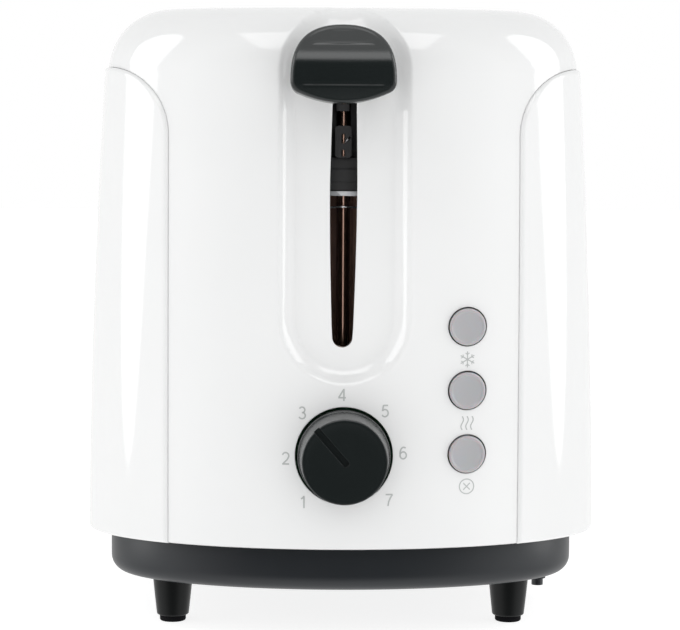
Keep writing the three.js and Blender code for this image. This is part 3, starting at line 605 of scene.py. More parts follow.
PRINT = plastic("printed_ink", (0.42, 0.435, 0.43), (0.47, 0.485, 0.48), (0.3, 0.45), 900, 0.005)
MATERIALS = {
    "white_plastic": WHITE, "charcoal_plastic": CHARCOAL, "knob_plastic": KNOB, "button_plastic": BUTTON,
    "black_plastic": BLACK, "rubber": RUBBER, "bright_steel": STEEL, "black_metal": OXIDE,
    "galvanised_steel": GALVANISED, "mica": MICA, "phenolic": PHENOLIC, "copper_winding": COPPER,
    "board": BOARD,
}


def finish_cad_nodes():
    slots = {row["node"]: row["material_slot"] for row in frame["record"]["subparts"]}
    for name, cad in NODES.items():
        cad.data.materials.clear()
        cad.data.materials.append(MATERIALS[slots[name]])


def settle(piece, body, slot, *replaced):
    """Puts a finished piece on its body and hides the CAD nodes that it stands for. The slot is not used."""
    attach(piece, body)
    if replaced:
        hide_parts(*replaced)
    return piece


# ---- Housing ----------------------------------------------------------------------------------

def lever_slot_outline():
    foot, waist, head = SLOT_HALVES["foot"], SLOT_HALVES["waist"], SLOT_HALVES["head"]
    angles = np.linspace(math.pi, 2 * math.pi, 25)
    points = [(foot * math.cos(a), SLOT_BOTTOM + foot + foot * math.sin(a)) for a in angles]
    for z in np.linspace(SLOT_BOTTOM + foot, SLOT_TOP, 24)[1:]:
        if z < SLOT_WAIST_Z:
            share = (z - SLOT_BOTTOM) / (SLOT_WAIST_Z - SLOT_BOTTOM)
            points.append((foot + (waist - foot) * math.sin(share * math.pi / 2), z))
        else:
            share = (z - SLOT_WAIST_Z) / (SLOT_TOP - SLOT_WAIST_Z)
            points.append((waist + (head - waist) * share, z))
    mirrored = [(-x, z) for x, z in points[25:][::-1]]
    heights = [SLOT_BOTTOM, SLOT_WAIST_Z, SLOT_TOP]
    leans = [SLOT_LEANS[place] for place in ("foot", "waist", "head")]
    return [(x + float(np.interp(z, heights, leans)), z) for x, z in points + mirrored]


BREAD_SLOT_HALF = 15.0
BREAD_SLOT_END = 9
BREAD_SLOT_CORNER = 4


def bread_slot_outline(side):
    """A bread slot over the middle of its two guides."""
    frame_low, frame_high = box_mm("slot_frame")
    middle = (middle_mm(side + "_inner_bread_guide")[0] + middle_mm(side + "_outer_bread_guide")[0]) / 2
    half = BREAD_SLOT_HALF
    long = (frame_high[1] - frame_low[1]) / 2 - BREAD_SLOT_END
    centre = (frame_low[1] + frame_high[1]) / 2
    return rounded_box_outline(middle - half, middle + half, centre - long, centre + long, BREAD_SLOT_CORNER)


def build_shell():
    columns = plan_columns()
    rows = profile_rows()
    count = len(columns)
    outer = body_grid(columns, rows, 0)
    inner_rows = [row for i, row in enumerate(rows) if i % 2 == 0 or i > len(rows) - 2]
    inner = body_grid(columns, inner_rows, WALL)
    inner[0, :, 2] = BOTTOM
    points = np.vstack([outer.reshape(-1, 3), inner.reshape(-1, 3)])
    start = len(rows) * count
    faces = grid_faces(len(rows), count, closed=True, flip=True)
    faces += grid_faces(len(inner_rows), count, closed=True, offset=start)
    for column in range(count):
        following = (column + 1) % count
        faces.append((column, following, start + following, start + column))
    last = (len(rows) - 1) * count
    faces.append(tuple(range(last, last + count))[::-1])
    last = start + (len(inner_rows) - 1) * count
    faces.append(tuple(range(last, last + count)))
    shell = fix_outward(new_mesh("shell", points, faces, WHITE))
    cutters = [
        prism("dial_cut", circle(0, DIAL_Z, DIAL_HOLE, 128), FRONT - 5, FRONT + 14),
        prism("slot_cut", lever_slot_outline(), FRONT - 5, FRONT + 25),
        prism("gland_cut", circle(0, middle_mm("cord_gland")[2], GLAND_HOLE), REAR - 8, REAR + 5),
    ]
    for z in BUTTON_Z.values():
        cutters.append(prism("button_cut", circle(BUTTON_X, z, BUTTON_HOLE), FRONT - 5, FRONT + 25))
    for side in ("left", "right"):
        cutters.append(upright_prism("bread_cut", bread_slot_outline(side), TOP - 12, TOP + 5))
    cutters += panel_seats()
    subtract(shell, cutters)
    round_bread_slots(shell)
    shell.data.shade_smooth()
    sharpen(shell, 32)
    set_skin_normals(shell)
    return settle(shell, "housing", "white_plastic", "body_shell")


BREAD_RIM_X = 41.5
BREAD_RIM_Y = 80
BREAD_RIM_RADIUS = 1.4


def round_bread_slots(shell):
    """Rolls the rims of the bread slots over with a bevel."""
    mesh = shell.data
    layer = mesh.attributes.new("bevel_weight_edge", "FLOAT", "EDGE")
    middle = (FRONT + REAR) / 2
    weights = []
    for edge in mesh.edges:
        a, b = (mesh.vertices[i].co / MM for i in edge.vertices)
        on_top = min(a.z, b.z) > TOP - 0.01
        inside = all(abs(p.y - middle) < BREAD_RIM_Y and abs(p.x) < BREAD_RIM_X for p in (a, b))
        weights.append(1.0 if on_top and inside else 0.0)
    layer.data.foreach_set("value", weights)
    modifier = shell.modifiers.new("rim", "BEVEL")
    modifier.limit_method = "WEIGHT"
    modifier.width = BREAD_RIM_RADIUS * MM
    modifier.segments = 5
    apply_modifiers(shell)


def seam_x(z, grow=0.0):
    """X of a side panel's front edge at a height."""
    corner = PANEL_CORNER + grow
    rise = np.clip(z - (PANEL_TOP - PANEL_CORNER), 0, corner)
    return SEAM_X + PANEL_CORNER - np.sqrt(np.maximum(corner ** 2 - rise ** 2, 0))


PANEL_EDGE = 1.1
PANEL_EDGE_STEPS = np.array([0, 0.08, 0.2, 0.36, 0.56, 0.8, 1.1, 1.6, 2.4])
PANEL_THICKNESS = 1.2
PANEL_SINK = 0.15
SEAT_GAP = 0.1
SEAT_DEPTH = 1.4


def panel_offset(distance):
    """Depth under the skin at a distance inside a panel's edge: a rolled edge, then proud all over."""
    share = np.clip(1 - distance / PANEL_EDGE, 0, 1)
    return -PANEL_PROUD + (PANEL_PROUD + PANEL_SINK) * (1 - np.sqrt(np.maximum(1 - share ** 2, 0)))


def panel_row(z, depth, grow=0.0):
    """Points of one row of the right panel, from the front seam round the side to the rear seam."""
    inset = draft_at(z)
    tilt = 1.0
    if z > SHOULDER_Z:
        level = math.sqrt(SHOULDER_RADIUS ** 2 - (z - SHOULDER_Z) ** 2)
        inset = DRAFT + SHOULDER_RADIUS - level
        tilt = level / SHOULDER_RADIUS
    half, end = HALF_WIDTH - inset, END_DEPTH - inset
    first = math.asin(min(seam_x(z, grow) / half, 0.9999))
    angles = np.linspace(first, math.pi / 2, 60)
    front = np.column_stack([half * np.sin(angles), FRONT_CENTRE - end * np.cos(angles)])
    rear = np.column_stack([half * np.sin(angles[::-1]), REAR_CENTRE + end * np.cos(angles[::-1])])
    path = np.vstack([front, rear])
    lengths = np.concatenate([[0], np.cumsum(np.hypot(*np.diff(path, axis=0).T))])
    total = lengths[-1]
    at = panel_stations(total)
    x = np.interp(at, lengths, path[:, 0])
    y = np.interp(at, lengths, path[:, 1])
    near = np.minimum(at, total - at)
    distance = np.minimum(near * 0.95, panel_distance(x, np.full(len(x), z)))
    distance = np.minimum(np.maximum(distance, 0), z - BOTTOM)
    d = depth(distance)
    tangent = np.gradient(np.column_stack([x, y]), axis=0)
    normal = np.column_stack([tangent[:, 1], -tangent[:, 0]])
    normal /= np.linalg.norm(normal, axis=1, keepdims=True)
    points = np.column_stack([x, y]) - normal * (d * tilt)[:, None]
    heights = z - d * math.sqrt(1 - tilt ** 2)
    return np.column_stack([points, heights])


def panel_stations(total):
    """Places along a row, closest together at its two ends."""
    edge = PANEL_EDGE_STEPS
    wrap = np.arange(4.0, 62, 1.7)
    middle = np.linspace(64, total - 64, 18)
    return np.concatenate([edge, wrap, middle, total - wrap[::-1], total - edge[::-1]])


def panel_heights(bottom, grow=0.0):
    """Heights of the rows, evenly spaced round the corner's arc so that the edge stays smooth."""
    centre = PANEL_TOP - PANEL_CORNER
    arc = centre + (PANEL_CORNER + grow) * np.sin(np.linspace(0, math.pi / 2, 44))
    return np.concatenate([bottom, np.arange(BOTTOM + 5, centre - 2, 3.5), arc])


def panel_skin(heights, outer_depth, inner_depth, grow=0.0):
    """A closed sheet between two depths over the region of the right panel."""
    outer = np.array([panel_row(z, outer_depth, grow) for z in heights])
    inner = np.array([panel_row(z, inner_depth, grow) for z in heights])
    rows, columns = outer.shape[:2]
    points = np.vstack([outer.reshape(-1, 3), inner.reshape(-1, 3)])
    start = rows * columns
    faces = grid_faces(rows, columns)
    faces += grid_faces(rows, columns, offset=start, flip=True)
    border = [(0, c) for c in range(columns)] + [(r, columns - 1) for r in range(1, rows)]
    border += [(rows - 1, c) for c in range(columns - 2, -1, -1)] + [(r, 0) for r in range(rows - 2, 0, -1)]
    ring = [r * columns + c for r, c in border]
    for a, b in zip(ring, ring[1:] + ring[:1]):
        faces.append((a, start + a, start + b, b))
    return points, faces


def constant(depth):
    return lambda distance: np.full(len(distance), depth)


def panel_seats():
    """The two cutters that make room for the panels in the shell."""
    heights = panel_heights(np.array([BOTTOM - 3]), SEAT_GAP)
    points, faces = panel_skin(heights, constant(-3.0), constant(SEAT_DEPTH), SEAT_GAP)
    return [new_mesh("seat_cut", points * np.array([sign, 1, 1]), faces) for sign in (-1, 1)]


def build_side_panels():
    heights = panel_heights(BOTTOM + PANEL_EDGE_STEPS)
    points, faces = panel_skin(heights, panel_offset, constant(PANEL_THICKNESS))
    for name, sign in (("left", -1), ("right", 1)):
        placed = points * np.array([sign, 1, 1])
        panel = fix_outward(new_mesh(name + "_panel", placed, faces, WHITE))
        sharpen(panel, 50)
        settle(panel, "housing", "white_plastic", name + "_side_panel")


BASE_INSET = 6.0
BASE_EDGE = 5.5
BASE_WALL = 2.5
TRAY_GAP = 0.3
FOOT_BOTTOM = 5.3
FOOT_EDGE = 0.7
PAD_EDGE = 0.6
PAD_GAP = 0.05


def base_ring(columns, inset, z):
    ux, uy, ys = columns.T
    return np.column_stack([(HALF_WIDTH - inset) * ux, ys + (END_DEPTH - inset) * uy, np.full(len(ux), z)])


def build_base():
    columns = plan_columns()[::2]
    low, high = BASE_LOW[2], BASE_HIGH[2]
    inner_edge = BASE_EDGE - BASE_WALL

    def rounded(inset, z, radius, angle):
        return base_ring(columns, inset + radius * (1 - math.sin(angle)), z + radius * (1 - math.cos(angle)))

    rings = [rounded(BASE_INSET, low, BASE_EDGE, a) for a in np.linspace(0, math.pi / 2, 14)]
    rings.append(base_ring(columns, BASE_INSET, high - 0.5))
    rings.append(base_ring(columns, BASE_INSET + 0.15, high - 0.15))
    rings.append(base_ring(columns, BASE_INSET + 0.5, high))
    rings.append(base_ring(columns, BASE_INSET + BASE_WALL, high))
    for a in np.linspace(math.pi / 2, 0, 5):
        rings.append(rounded(BASE_INSET + BASE_WALL, low + BASE_WALL, inner_edge, a))
    base = fix_outward(tube_loft("base_tub", rings, CHARCOAL))
    tray_low, tray_high = box_mm("crumb_tray")
    (x0, _, z0), (x1, _, z1) = tray_low - TRAY_GAP, tray_high + TRAY_GAP
    cutters = [prism("tunnel_cut", rounded_box_outline(x0, x1, z0, z1, 1.0), REAR - 40, REAR + 5)]
    for place in corner_names():
        x, y, _ = middle_mm(place + "_base_screw")
        cutters.append(upright_prism("screw_cut", circle(x, y, 3.6, 32), low - 2, low + 6))
    subtract(base, cutters)
    base.data.shade_smooth()
    sharpen(base, 40)
    settle(base, "housing", "charcoal_plastic", "base")


def corner_names():
    return [end + "_" + side for end in ("front", "rear") for side in ("left", "right")]


def build_feet():
    """Four tapered feet, each on a rubber pad."""
    for place in corner_names():
        low, high = box_mm(place + "_foot")
        x, y, middle = (low + high) / 2
        top, bottom, edge = (high[0] - low[0]) / 2, FOOT_BOTTOM, FOOT_EDGE
        profile = [(0, low[2]), (bottom - edge, low[2])]
        profile += arc_profile((bottom - edge, low[2] + edge), edge, -90, 0, 5)
        profile += [(bottom + (top - bottom) * 0.5, middle), (top, high[2]), (0, high[2])]
        # The feet take the darkened copy of the charcoal plastic, as painted shade.
        foot = fix_outward(turned(place + "_leg", profile, (x, y, 0), material=FOOT_PAINTED_SHADE, sides=56))
        sharpen(foot, 50)
        settle(foot, "housing", "charcoal_plastic", place + "_foot")
        pad_low, pad_high = box_mm(place + "_pad")
        radius = (pad_high[0] - pad_low[0]) / 2
        profile = [(0, 0), (radius - PAD_EDGE, 0)]
        profile += arc_profile((radius - PAD_EDGE, PAD_EDGE), PAD_EDGE, -90, 0, 5)
        profile += [(radius, low[2] - PAD_GAP), (0, low[2] - PAD_GAP)]
        pad = fix_outward(turned(place + "_sole", profile, (x, y, 0), material=RUBBER, sides=48))
        sharpen(pad, 50)
        settle(pad, "housing", "rubber", place + "_pad")


# ---- Controls ---------------------------------------------------------------------------------

DIAL_POINTER = 131.0
DIAL_RIM = 13.15
DIAL_EDGE = 0.55
DIAL_SKIRT = 3.1
DIAL_STEP = 0.45
DIAL_DISH = 0.16
POINTER_HALF = 1.03
POINTER_TAIL = 1.6
POINTER_DEPTH = 1.5


def pointer_outline():
    """The groove across the dial's face, with a round tail, turned to where it points."""
    half, length = POINTER_HALF, DIAL_RIM + 1
    angles = np.linspace(math.pi, 2 * math.pi, 17)
    outline = [(half * math.cos(a), -POINTER_TAIL + half + half * math.sin(a)) for a in angles]
    outline += [(half, length), (-half, length)]
    turn = math.radians(DIAL_POINTER - 90)
    cos, sin = math.cos(turn), math.sin(turn)
    return [(x * cos - z * sin, DIAL_Z + x * sin + z * cos) for x, z in outline]


def build_dial():
    """The dial: a short skirt, a cone up to a rounded rim, a slightly sunken face, and eight fine ticks."""
    face, back = -DIAL_LOW[1], -DIAL_HIGH[1]
    rim, edge = DIAL_RIM, DIAL_EDGE
    cone_radius, cone_back = DIAL_RADIUS - DIAL_STEP, back + DIAL_SKIRT
    cone_rise = face - edge - back - DIAL_SKIRT
    profile = [(0, back), (DIAL_RADIUS, back), (DIAL_RADIUS, back + 2.4), (DIAL_RADIUS - 0.12, back + 2.9)]
    profile.append((cone_radius, cone_back))
    for t in np.linspace(0.1, 1, 8):
        profile.append((rim + (cone_radius - rim) * (1 - t), cone_back + cone_rise * t))
    profile += arc_profile((rim - edge, face - edge), edge, 0, 90, 6)[1:]
    sunken = face - DIAL_DISH
    profile += [(rim - 1.1, face), (rim - 1.4, face - 0.12), (rim * 0.5, sunken), (0, sunken)]
    dial = fix_outward(turned("dial_knob", profile, (0, 0, DIAL_Z), axis="Y", material=KNOB, sides=160))
    subtract(dial, [prism("groove_cut", pointer_outline(), -face - 1, -face + POINTER_DEPTH)])
    dial.data.shade_smooth()
    sharpen(dial, 40)
    settle(dial, "dial", "knob_plastic", "browning_dial")
    ticks = []
    for angle in range(0, 360, 45):
        a = math.radians(angle)
        path = []
        for rise in (0.5, 1.3, 2.1):
            radius = cone_radius + (rim - cone_radius) / cone_rise * rise + 0.02
            path.append((radius * math.cos(a), -(cone_back + rise), DIAL_Z + radius * math.sin(a)))
        ticks.append(tube("tick", path, 0.16, BLACK, 8))
    settle(join(ticks, "dial_ticks"), "dial", "knob_plastic")


BUTTON_PROUD = 1.7
BUTTON_BACK = -5.0
BUTTON_EDGE = 0.5
BUTTON_DISH_RADIUS = 4.75


def build_buttons():
    """Three round caps with a raised ring and a dished middle, which follow the curve of the front."""
    r, top, edge = BUTTON_RADIUS, BUTTON_PROUD, BUTTON_EDGE
    profile = [(0, BUTTON_BACK), (r, BUTTON_BACK), (r, top - edge)]
    profile += arc_profile((r - edge, top - edge), edge, 0, 90, 6)[1:]
    profile += [(r - 0.72, top), (r - 0.85, top - 0.06), (r - 0.98, top - 0.2)]
    for radius in (4.6, 4.2, 3.6, 3.0, 2.2, 1.2, 0):
        profile.append((radius, top - 0.24 - 0.34 * (1 - (radius / BUTTON_DISH_RADIUS) ** 2)))
    for name, z in BUTTON_Z.items():
        button = turned(name + "_cap", profile, (BUTTON_X, 0, z), axis="Y", material=BUTTON, sides=96)
        for vertex in button.data.vertices:
            x, height = vertex.co.x / MM, vertex.co.z / MM
            vertex.co.y += float(front_surface(x, height)) * MM
        fix_outward(button)
        sharpen(button, 50)
        settle(button, name + "_key", "button_plastic", name + "_button")


def bezier(controls, count):
    """Points of a Bezier curve, without its last one."""
    t = np.linspace(0, 1, count, endpoint=False)[:, None]
    points = [np.array(control, float) for control in controls]
    while len(points) > 1:
        points = [(1 - t) * a + t * b for a, b in zip(points, points[1:])]
    return points[0]


KNOB_CORNER = 2.8


def knob_outline(half_width, half_height, steps=28):
    """The knob's front outline, counter-clockwise from the lower left, about its middle."""
    w, h, corner = half_width, half_height, KNOB_CORNER
    corner_z = -h + corner
    return np.vstack([
        bezier([(-w + corner, corner_z), (0, -h - corner), (w - corner, corner_z)], steps),
        bezier([(w - corner, corner_z), (w, corner_z + 0.8), (w, corner_z + 4)], 12),
        bezier([(w, corner_z + 4), (w, h - 4), (w * 0.6, h), (0, h)], steps),
        bezier([(0, h), (-w * 0.6, h), (-w, h - 4), (-w, corner_z + 4)], steps),
        bezier([(-w, corner_z + 4), (-w, corner_z + 0.8), (-w + corner, corner_z)], 12),
    ])


KNOB_LIP = 1.5
KNOB_RIB_HALF = 0.28
KNOB_RIBS = ((6.1, 9.8, -0.24), (5.4, 9.4, 0.12), (10.1, 4.4, -0.14), (-6.0, 12.4, -0.22), (-6.7, 12.4, 0.1))


def build_lever_knob():
    low, high = box_mm("lever_knob")
    across, _, middle = (low + high) / 2
    half_width, _, half_height = (high - low) / 2
    outline = knob_outline(half_width, half_height)
    reach, back = low[1], high[1]
    lip = KNOB_LIP
    core = 1 - lip / half_width
    heights = np.linspace(-half_height, half_height, 480)
    slopes = np.interp(heights, [-half_height, -6.4, -6.0, -0.3, 0.1, 4.2, 6.0, half_height],
                       [-0.34, -0.26, -0.03, 0.0, 0.2, 0.9, 1.0, 1.12])
    run = np.concatenate([[0], np.cumsum((slopes[1:] + slopes[:-1]) / 2 * np.diff(heights))])
    run -= run.min()

    def face(x, z):
        """Y of the knob's face: an upright front under a sloping roof, with fine moulded ribs."""
        y = reach + np.interp(z, heights, run)
        for at, half_length, height in KNOB_RIBS:
            fade = smoothstep((half_length - np.abs(x)) / 1.2)
            y = y + height * np.exp(-((z - at) / KNOB_RIB_HALF) ** 2) * fade
        return np.maximum(y, reach)

    rings = []

    def add_ring(share, y):
        rings.append(np.column_stack([outline[:, 0] * share + across, y, outline[:, 1] * share + middle]))

    for share in np.concatenate([np.linspace(0.01, core - 0.02, 70), [core - 0.01, core]]):
        add_ring(share, face(*(outline * share).T))
    edge_y = face(*(outline * core).T)
    for a in np.radians(np.linspace(12, 90, 8)):
        add_ring(core + (1 - core) * math.sin(a), edge_y + lip * (1 - math.cos(a)))
    for t in (0.25, 0.5, 0.75, 0.93):
        add_ring(1, edge_y + lip + (back - edge_y - lip) * t)
    for share, behind in ((0.985, 0.15), (0.955, 0.0)):
        add_ring(share, np.full(len(outline), back - behind))
    knob = fix_outward(tube_loft("knob_grip", rings, KNOB))
    sharpen(knob, 60)
    settle(knob, "carriage_assembly", "knob_plastic", "lever_knob")


# ---- Printed marks ----------------------------------------------------------------------------

INK_PROUD = 0.05
DIGIT_HEIGHT = 3.75
DIGIT_STROKE = 0.46
SYMBOL_DROP = 10.2
SYMBOL_RADIUS = 2.5
SYMBOL_STROKE = 0.34
# Each digit's direction from the dial's middle in degrees, and its distance.
DIGIT_PLACES = {
    1: (229, 19.2), 2: (183, 18.1), 3: (134.3, 18.6), 4: (92, 19.0), 5: (47.8, 18.9), 6: (2.5, 18.4),
    7: (-44.4, 19.7),
}


def on_front(points, faces, name):
    """A printed patch: flat (x, z) points laid on the front of the body."""
    points = np.asarray(points, float)
    y = front_surface(points[:, 0], points[:, 1]) - INK_PROUD
    return new_mesh(name, np.column_stack([points[:, 0], y, points[:, 1]]), faces, PRINT, smooth=False)


def curve_points(cx, cz, rx, rz, start, end, steps=14):
    angles = np.radians(np.linspace(start, end, steps))
    return [(cx + rx * math.cos(a), cz + rz * math.sin(a)) for a in angles]


def glyph_lines(number):
    """The strokes of a digit in a box 0.62 wide and 1 high."""
    return {
        1: [[(0.13, 0.76), (0.28, 0.85), (0.38, 1.0)], [(0.38, 1.0), (0.38, 0.0)]],
        2: [
            curve_points(0.31, 0.72, 0.26, 0.27, 165, -25) + [(0.45, 0.42), (0.06, 0.03)],
            [(0.03, 0.04), (0.6, 0.04)],
        ],
        3: [curve_points(0.3, 0.75, 0.23, 0.23, 155, -90), curve_points(0.3, 0.28, 0.27, 0.26, 90, -155)],
        4: [[(0.46, 0.0), (0.46, 1.0)], [(0.46, 0.98), (0.03, 0.28)], [(0.0, 0.27), (0.62, 0.27)]],
        5: [
            [(0.56, 0.96), (0.17, 0.96)], [(0.18, 0.98), (0.09, 0.48)],
            curve_points(0.3, 0.32, 0.27, 0.3, 140, -150),
        ],
        6: [curve_points(0.32, 0.31, 0.26, 0.29, 0, 360, 26), curve_points(0.36, 0.5, 0.3, 0.48, 186, 58)],
        7: [[(0.03, 0.95), (0.6, 0.95)], [(0.59, 0.95), (0.42, 0.68), (0.29, 0.36), (0.23, 0.0)]],
    }[number]


def digit(number, x, z, height, width):
    patches = []
    for line in glyph_lines(number):
        patches.append(stroke([(x + (u - 0.31) * height, z + (v - 0.5) * height) for u, v in line], width))
    return merged(patches)


def stroke(points, width):
    """A thin band that follows a line of (x, z) points."""
    points = np.asarray(points, float)
    tangent = np.gradient(points, axis=0)
    tangent /= np.linalg.norm(tangent, axis=1, keepdims=True)
    normal = np.column_stack([-tangent[:, 1], tangent[:, 0]]) * width / 2
    both = np.vstack([points + normal, points - normal])
    count = len(points)
    faces = [(i, i + 1, count + i + 1, count + i) for i in range(count - 1)]
    return both, faces


def snowflake(x, z, radius, width):
    for turn in range(6):
        a = math.radians(60 * turn + 30)
        tip = np.array([x + radius * math.cos(a), z + radius * math.sin(a)])
        yield stroke([(x, z), tip], width)
        knee = np.array([x + radius * 0.6 * math.cos(a), z + radius * 0.6 * math.sin(a)])
        for lean in (-50, 50):
            b = a + math.radians(lean)
            yield stroke([knee, knee + radius * 0.33 * np.array([math.cos(b), math.sin(b)])], width * 0.8)


def heat_waves(x, z, radius, width):
    t = np.linspace(-1, 1, 21)
    for shift in (-0.62, 0, 0.62):
        line = np.column_stack([x + radius * (shift + 0.16 * np.sin(t * math.pi)), z + radius * 0.85 * t])
        yield stroke(line, width)


def stop_sign(x, z, radius, width):
    yield stroke(curve_points(x, z, radius * 0.92, radius * 0.92, 0, 360, 41), width)
    for sign in (-1, 1):
        arm = radius * 0.42
        yield stroke([(x - arm, z - sign * arm), (x + arm, z + sign * arm)], width)


def merged(patches):
    points, faces = [], []
    for patch_points, patch_faces in patches:
        start = len(points)
        points += [tuple(p) for p in patch_points]
        faces += [tuple(start + i for i in face) for face in patch_faces]
    return points, faces


def build_print():
    digits = []
    for number, (angle, radius) in DIGIT_PLACES.items():
        x, z = curve_points(0, DIAL_Z, radius, radius, angle, angle, 1)[0]
        digits.append(digit(number, x, z, DIGIT_HEIGHT, DIGIT_STROKE))
    settle(on_front(*merged(digits), "printed_scale"), "housing", "white_plastic")
    symbols = {"cancel": stop_sign, "reheat": heat_waves, "defrost": snowflake}
    for name, draw in symbols.items():
        patches = draw(BUTTON_X, BUTTON_Z[name] - SYMBOL_DROP, SYMBOL_RADIUS, SYMBOL_STROKE)
        settle(on_front(*merged(patches), "printed_" + name), "housing", "white_plastic")


# ---- Works ------------------------------------------------------------------------------------

def tube(name, path, radius, material, sides=12):
    """A round wire along a path of points, with flat ends."""
    path = np.asarray(path, float)
    tangent = np.gradient(path, axis=0)
    tangent /= np.linalg.norm(tangent, axis=1, keepdims=True)
    up = np.array([0.0, 0.0, 1.0])
    if abs(tangent[0] @ up) > 0.9:
        up = np.array([0.0, 1.0, 0.0])
    rings = []
    angles = np.linspace(0, 2 * math.pi, sides, endpoint=False)[:, None]
    side = np.cross(tangent[0], up)
    for t, p in zip(tangent, path):
        side = side - t * (side @ t)
        side /= np.linalg.norm(side)
        other = np.cross(t, side)
        rings.append(p + radius * (np.cos(angles) * side + np.sin(angles) * other))
    return fix_outward(tube_loft(name, rings, material))


SPRING_WIRE = 0.45
SPRING_TURNS = 16
SPRING_TAIL = 2.5


def build_spring():
    """The return spring, a coil between the carriage and the end plate."""
    low, high = box_mm("return_spring")
    x, y, _ = (low + high) / 2
    radius = (high[0] - low[0]) / 2 - SPRING_WIRE
    t = np.linspace(0, 1, SPRING_TURNS * 20 + 1)
    turns = 2 * math.pi * SPRING_TURNS * t
    coil_low, coil_high = low[2] + SPRING_TAIL, high[2] - SPRING_TAIL
    coil = np.column_stack([
        x + radius * np.cos(turns), y + radius * np.sin(turns), coil_low + (coil_high - coil_low) * t,
    ])
    tail_low = [(x, y, low[2] - 0.2), (x, y, low[2] + 1.2), (x + radius * 0.6, y, coil_low - 0.6)]
    tail_high = [(x + radius * 0.6, y, coil_high + 0.6), (x, y, high[2] - 1.2), (x, y, high[2] + 0.2)]
    spring = tube("spring_coil", np.vstack([tail_low, coil, tail_high]), SPRING_WIRE, STEEL, 10)
    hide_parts("return_spring")
    start, end = (x * MM, y * MM, low[2] * MM), (x * MM, y * MM, high[2] * MM)
    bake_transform(spring)
    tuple(start)
    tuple(end)


BLOCK_CORNER = 0.01


def block(x_range, y_range, z_range, radius, material):
    """A moulded block with rounded upright and level edges."""
    (x0, x1), (y0, y1), (z0, z1) = x_range, y_range, z_range
    piece = upright_prism("block", rounded_box_outline(x0, x1, y0, y1, BLOCK_CORNER, 1), z0, z1)
    fix_outward(piece)
    piece.data.materials.append(material)
    modifier = piece.modifiers.new("round", "BEVEL")
    modifier.width = radius * MM
    modifier.segments = 4
    modifier.limit_method = "ANGLE"
    apply_modifiers(piece)
    return piece


def build_guide_rod():
    low, high = box_mm("guide_rod")
    x, y, _ = (low + high) / 2
    radius = (high[0] - low[0]) / 2
    edge = 0.5
    profile = [(0, low[2]), (radius - edge, low[2]), (radius, low[2] + edge)]
    profile += [(radius, high[2] - edge), (radius - edge, high[2]), (0, high[2])]
    # The rod's brown tint is a painted reflection of the board around it.
    rod = fix_outward(turned("carriage_rod", profile, (x, y, 0), material=ROD_STEEL_PAINTED_REFLECTION, sides=64))
    sharpen(rod, 40)
    settle(rod, "housing", "bright_steel", "guide_rod")


def clip_frame(y0, y1, bottom):
    """The rounded clip in front of the rod, with two upright windows through it."""
    clip = fix_outward(prism("clip", rounded_box_outline(-2.9, 2.5, bottom, bottom + 10.2, 1.1), y0, y1))
    for z0, z1 in ((bottom + 0.5, bottom + 2.6), (bottom + 4.6, bottom + 7.6)):
        subtract(clip, [prism("window_cut", rounded_box_outline(-0.75, 0.35, z0, z1, 0.4), y0 - 1, y1 + 1)])
    clip.data.materials.clear()
    clip.data.materials.append(BLACK)
    return clip


SLIDE_HALF = 17.0
SLIDE_HEIGHT = 28
WIRE = 0.32


